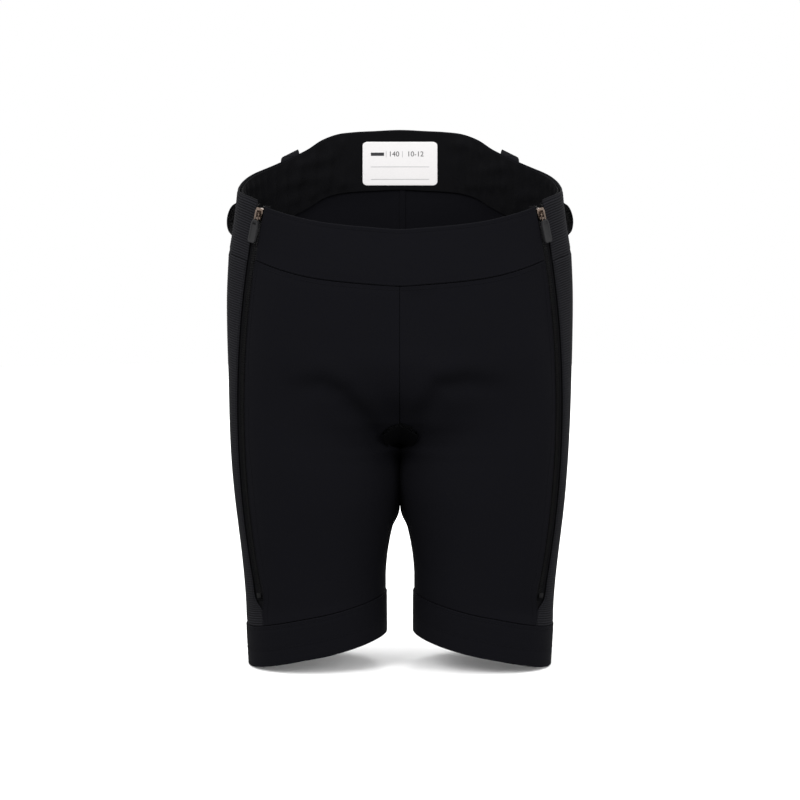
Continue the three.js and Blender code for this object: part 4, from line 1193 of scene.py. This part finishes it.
def zip_line(side):
    """Points and directions (across to the rear, out, up) down the middle of a zip."""
    heart = (0.05 if side == "right" else -0.05, 0, 0)
    front, tilt, _ = skin_table(f"zip_coil_front_{side}", heart)
    rear, _, _ = skin_table(f"zip_coil_rear_{side}", heart)
    middle = (front[:, -1] + rear[:, 0]) / 2
    half_gap = np.linalg.norm(rear[:, 0] - front[:, -1], axis=1).mean() / 2
    width = np.linalg.norm(rear[:, -1] - rear[:, 0], axis=1).mean()
    across = unit(rear[:, -1] - front[:, 0])
    run = run_along(middle)
    out = unit(np.cross(across, np.gradient(middle, axis=0)))
    out *= np.sign((out @ tilt).sum())
    return middle, across, out, run, half_gap, width


def teeth(side, end, sign):
    middle, across, out, run, half_gap, width = zip_line(side)
    start = 0 if end == "front" else TOOTH_PITCH / 2
    stops = np.arange(start + BARE_FOOT, run[-1] - BARE_TOP, TOOTH_PITCH)
    at, sideways, outwards = (smooth(a, run, stops) for a in (middle, across, out))
    upwards = unit(np.gradient(at, axis=0))
    inner, outer = -TOOTH_OVERLAP, half_gap + width
    sizes = np.array([(outer - inner) / 2, TOOTH_PITCH * TOOTH_SHARE / 2, TOOTH_HEIGHT / 2])
    shape = tooth_points * sizes + [sign * (inner + outer) / 2, 0, -TOOTH_HEIGHT / 2]
    every = (
        at[:, None]
        + shape[None, :, 0:1] * sideways[:, None]
        + shape[None, :, 1:2] * upwards[:, None]
        + shape[None, :, 2:3] * outwards[:, None]
    )
    count = len(tooth_points)
    faces = [[i + k * count for i in f] for k in range(len(stops)) for f in tooth_faces]
    node = f"zip_coil_{end}_{side}"
    made = mesh_object(node + "_teeth", every.reshape(-1, 3), faces, None, NYLON)
    volume_sign(made)
    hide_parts(node)
    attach(made, "shorts")
    print(made.name, len(stops), "teeth")


def tape_foot(end):
    """Widens a tape towards the other one at its foot."""

    def trim(u, y, wide, high):
        wider = 1 + FOOT_REACH[end] / wide * min(max((FOOT_TOP - y) / MM, 0), 1)
        return u * wider if end == "front" else wide - (wide - u) * wider

    return trim


for side, sign in (("left", -1), ("right", 1)):
    for end, way in (("front", -1), ("rear", 1)):
        tape, _, _ = sheet_piece(
            f"zip_tape_{end}_{side}", (0.05 * sign, 0, 0), (0.9 * MM, 4 * MM), TAPE, ZIP_TAPE,
            trim=tape_foot(end), laps=[("bottom", TAPE_END, 0)],
        )
        del tape["cut"]
        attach(tape, "shorts")
        teeth(side, end, way)

# %% [markdown]
# The slider, the stops and the wire bail are metal, and their size decides whether the zip runs, so
# their shapes are the frame's own. What they lack is the soft edge of a tumbled casting: the flat
# faces are joined and every sharp edge gets a small round bevel.

# %% Zip hardware
def rounded_part(node, name, width_mm, segments, material, body):
    made = merged_copy(node, name)
    bpy.ops.mesh.select_all(action="SELECT")
    bpy.ops.mesh.dissolve_limited(angle_limit=math.radians(2))
    bpy.ops.object.mode_set(mode="OBJECT")
    apply_modifier(
        made, "BEVEL", width=width_mm * MM, segments=segments, limit_method="ANGLE",
        angle_limit=math.radians(28), use_clamp_overlap=True, harden_normals=False,
    )
    bpy.ops.object.shade_smooth_by_angle(angle=math.radians(40))
    made.data.materials.append(material)
    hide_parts(node)
    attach(made, body)
    return made


TAB_BORDER = 1.5 * MM
TAB_DISH = 0.3 * MM


def pull_tab(node, side):
    """The moulded pull: its front and back are dished inside a raised border."""
    made = merged_copy(node, f"zip_pull_tab_{side}_moulded")
    bpy.ops.mesh.dissolve_limited(angle_limit=math.radians(2))
    bpy.ops.mesh.select_all(action="DESELECT")
    bpy.ops.object.mode_set(mode="OBJECT")
    biggest = sorted(made.data.polygons, key=lambda f: -f.area)[:2]
    for face in biggest:
        face.select = True
    bpy.ops.object.mode_set(mode="EDIT")
    bpy.ops.mesh.select_mode(type="FACE")
    bpy.ops.mesh.inset(thickness=TAB_BORDER, depth=0, use_individual=True)
    bpy.ops.mesh.inset(thickness=TAB_DISH, depth=-TAB_DISH, use_individual=True)
    bpy.ops.object.mode_set(mode="OBJECT")
    apply_modifier(
        made, "BEVEL", width=0.35 * MM, segments=3, limit_method="ANGLE", angle_limit=math.radians(30),
    )
    bpy.ops.object.shade_smooth_by_angle(angle=math.radians(40))
    made.data.materials.append(MOULDED)
    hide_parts(node)
    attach(made, f"pull_{side}")


for side in ("left", "right"):
    slider, bail = f"zip_slider_{side}", f"zip_pull_bail_{side}"
    rounded_part(slider, slider + "_cast", 0.22, 3, NICKEL, f"slider_{side}")
    rounded_part(bail, bail + "_wire", 0.3, 3, NICKEL, f"pull_{side}")
    pull_tab(f"zip_pull_tab_{side}", side)
    for stop in (f"zip_top_stop_front_{side}", f"zip_top_stop_rear_{side}", f"zip_bottom_stop_{side}"):
        rounded_part(stop, stop + "_pressed", 0.2, 2, NYLON, "shorts")
print("zip parts are done")

# %% [markdown]
# The pads are soft foam slabs in pockets on the inside, over the hips, the thighs and the tailbone.
# A cut slab of foam swells a little between its edges. Cloth simulation with some pressure gives
# that crown: the mesh starts slightly thin, is remeshed evenly, blown up for twenty steps, and no
# point may move further than a small cap, so that the pad stays inside its pocket.

# %% Impact pads
PAD_NODES = [f"{k}_pad_{side}" for k in ("hip", "thigh") for side in ("left", "right")] + ["tailbone_pad"]
PAD_THIN = 0.7 * MM
PAD_CAP = 0.9 * MM
PAD_VOXEL = 3.0 * MM
PAD_STEPS = 20


def foam_pad(node):
    made = merged_copy(node, node + "_foam")
    bpy.ops.transform.shrink_fatten(value=-PAD_THIN)
    bpy.ops.object.mode_set(mode="OBJECT")
    apply_modifier(made, "REMESH", mode="VOXEL", voxel_size=PAD_VOXEL)
    apply_modifier(made, "SMOOTH", factor=0.5, iterations=4)
    before = np.array([v.co[:] for v in made.data.vertices])
    blown = made.modifiers.new("Cloth", "CLOTH")
    blown.settings.use_pressure = True
    blown.settings.uniform_pressure_force = 4
    blown.settings.effector_weights.gravity = 0
    for step in range(1, PAD_STEPS + 1):
        bpy.context.scene.frame_set(step)
    bpy.ops.object.modifier_apply(modifier=blown.name)
    bpy.context.scene.frame_set(1)
    after = np.array([v.co[:] for v in made.data.vertices])
    move = after - before
    far = np.linalg.norm(move, axis=1, keepdims=True)
    settled = before + move * np.minimum(1, PAD_CAP / np.maximum(far, 1e-9))
    made.data.vertices.foreach_set("co", settled.ravel())
    made.data.update()
    apply_modifier(made, "SUBSURF", levels=1, render_levels=1)
    bpy.ops.object.shade_smooth()
    made.data.materials.append(FOAM)
    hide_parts(node)
    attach(made, "shorts")
    print(made.name, len(made.data.vertices), "points")


for node in PAD_NODES:
    foam_pad(node)

# %% [markdown]
# Each pad lies in a tricot pocket that is sewn to the shell all round. The foam is scored so that it
# bends, and the pocket is stitched down along the scores, which leaves a field of soft cushions.

# %% Pad pockets
POCKET = 0.7 * MM
CUSHION = 21 * MM
CUSHION_RISE = 0.9 * MM


def cushioned(place):
    """Soft squares between sewn lines, standing in towards the wearer."""
    columns = max(1, round(place["wide"] / CUSHION))
    rows = max(1, round(place["high"] / CUSHION))
    across = np.abs(np.sin(math.pi * columns * place["u"] / place["wide"]))
    up = np.abs(np.sin(math.pi * rows * place["v"] / place["high"]))
    return -CUSHION_RISE * (across * up) ** 0.45 * edge_fade(place, 8)


for node in PAD_NODES:
    sign = -1 if "left" in node else 1 if "right" in node else 0
    pocket, _, _ = sheet_piece(
        node.replace("_pad", "_pad_pocket"), (0.06 * sign, 0, 0), (1.6 * MM, 1.6 * MM), POCKET, TRICOT,
        cushioned,
    )
    declare(pocket)

# %% [markdown]
# Last comes the thread. A stitch is a short rounded bar of twisted polyester that lies in the dip of
# its seam. One bar is copied along every seam line that the sheets noted, 3 mm from one to the next.

# %% Topstitching
STITCH_PITCH = 3.0 * MM
STITCH_LENGTH = 2.3 * MM
STITCH_RADIUS = 0.24 * MM
BAR_SIDES = 6
BAR_RINGS = [(-1, 0.45), (-0.75, 1), (0.75, 1), (1, 0.45)]  # place along the bar, share of its radius


def along_line(values, run, place):
    """A point of a line, or its direction, at a distance along it."""
    return np.array([np.interp(place, run, values[:, k]) for k in range(3)])


def topstitching(name):
    turn = np.linspace(0, 2 * math.pi, BAR_SIDES, endpoint=False)
    bar = np.array([(x, r * math.cos(t), r * math.sin(t)) for x, r in BAR_RINGS for t in turn])
    bar *= [STITCH_LENGTH / 2, STITCH_RADIUS, STITCH_RADIUS]
    bar_faces = []
    for k in range(len(BAR_RINGS) - 1):
        for i in range(BAR_SIDES):
            a, b = k * BAR_SIDES + i, k * BAR_SIDES + (i + 1) % BAR_SIDES
            bar_faces.append([a, b, b + BAR_SIDES, a + BAR_SIDES])
    bar_faces += [list(range(BAR_SIDES))[::-1], [len(bar) - BAR_SIDES + i for i in range(BAR_SIDES)]]
    points, faces, uvs = [], [], []
    for line, facing in seam_lines:
        run = run_along(line)
        for middle in np.arange(STITCH_PITCH, run[-1] - STITCH_PITCH / 2, STITCH_PITCH):
            ends = [along_line(line, run, middle + d) for d in (-0.5 * MM, 0.5 * MM)]
            up = along_line(facing, run, middle)
            along = ends[1] - ends[0]
            along /= np.linalg.norm(along)
            up -= along * (up @ along)
            up /= np.linalg.norm(up)
            basis = np.stack([along, np.cross(up, along), up])
            first = len(points) * len(bar)
            points.append(bar @ basis + (ends[0] + ends[1]) / 2 + up * STITCH_RADIUS * 0.5)
            faces += [[i + first for i in f] for f in bar_faces]
            uvs.append(bar[:, :2] + middle)
    made = mesh_object(name, np.concatenate(points), faces, np.concatenate(uvs), THREAD)
    volume_sign(made)
    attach(made, "shorts")
    print(name, len(points), "stitches")


topstitching("topstitching")
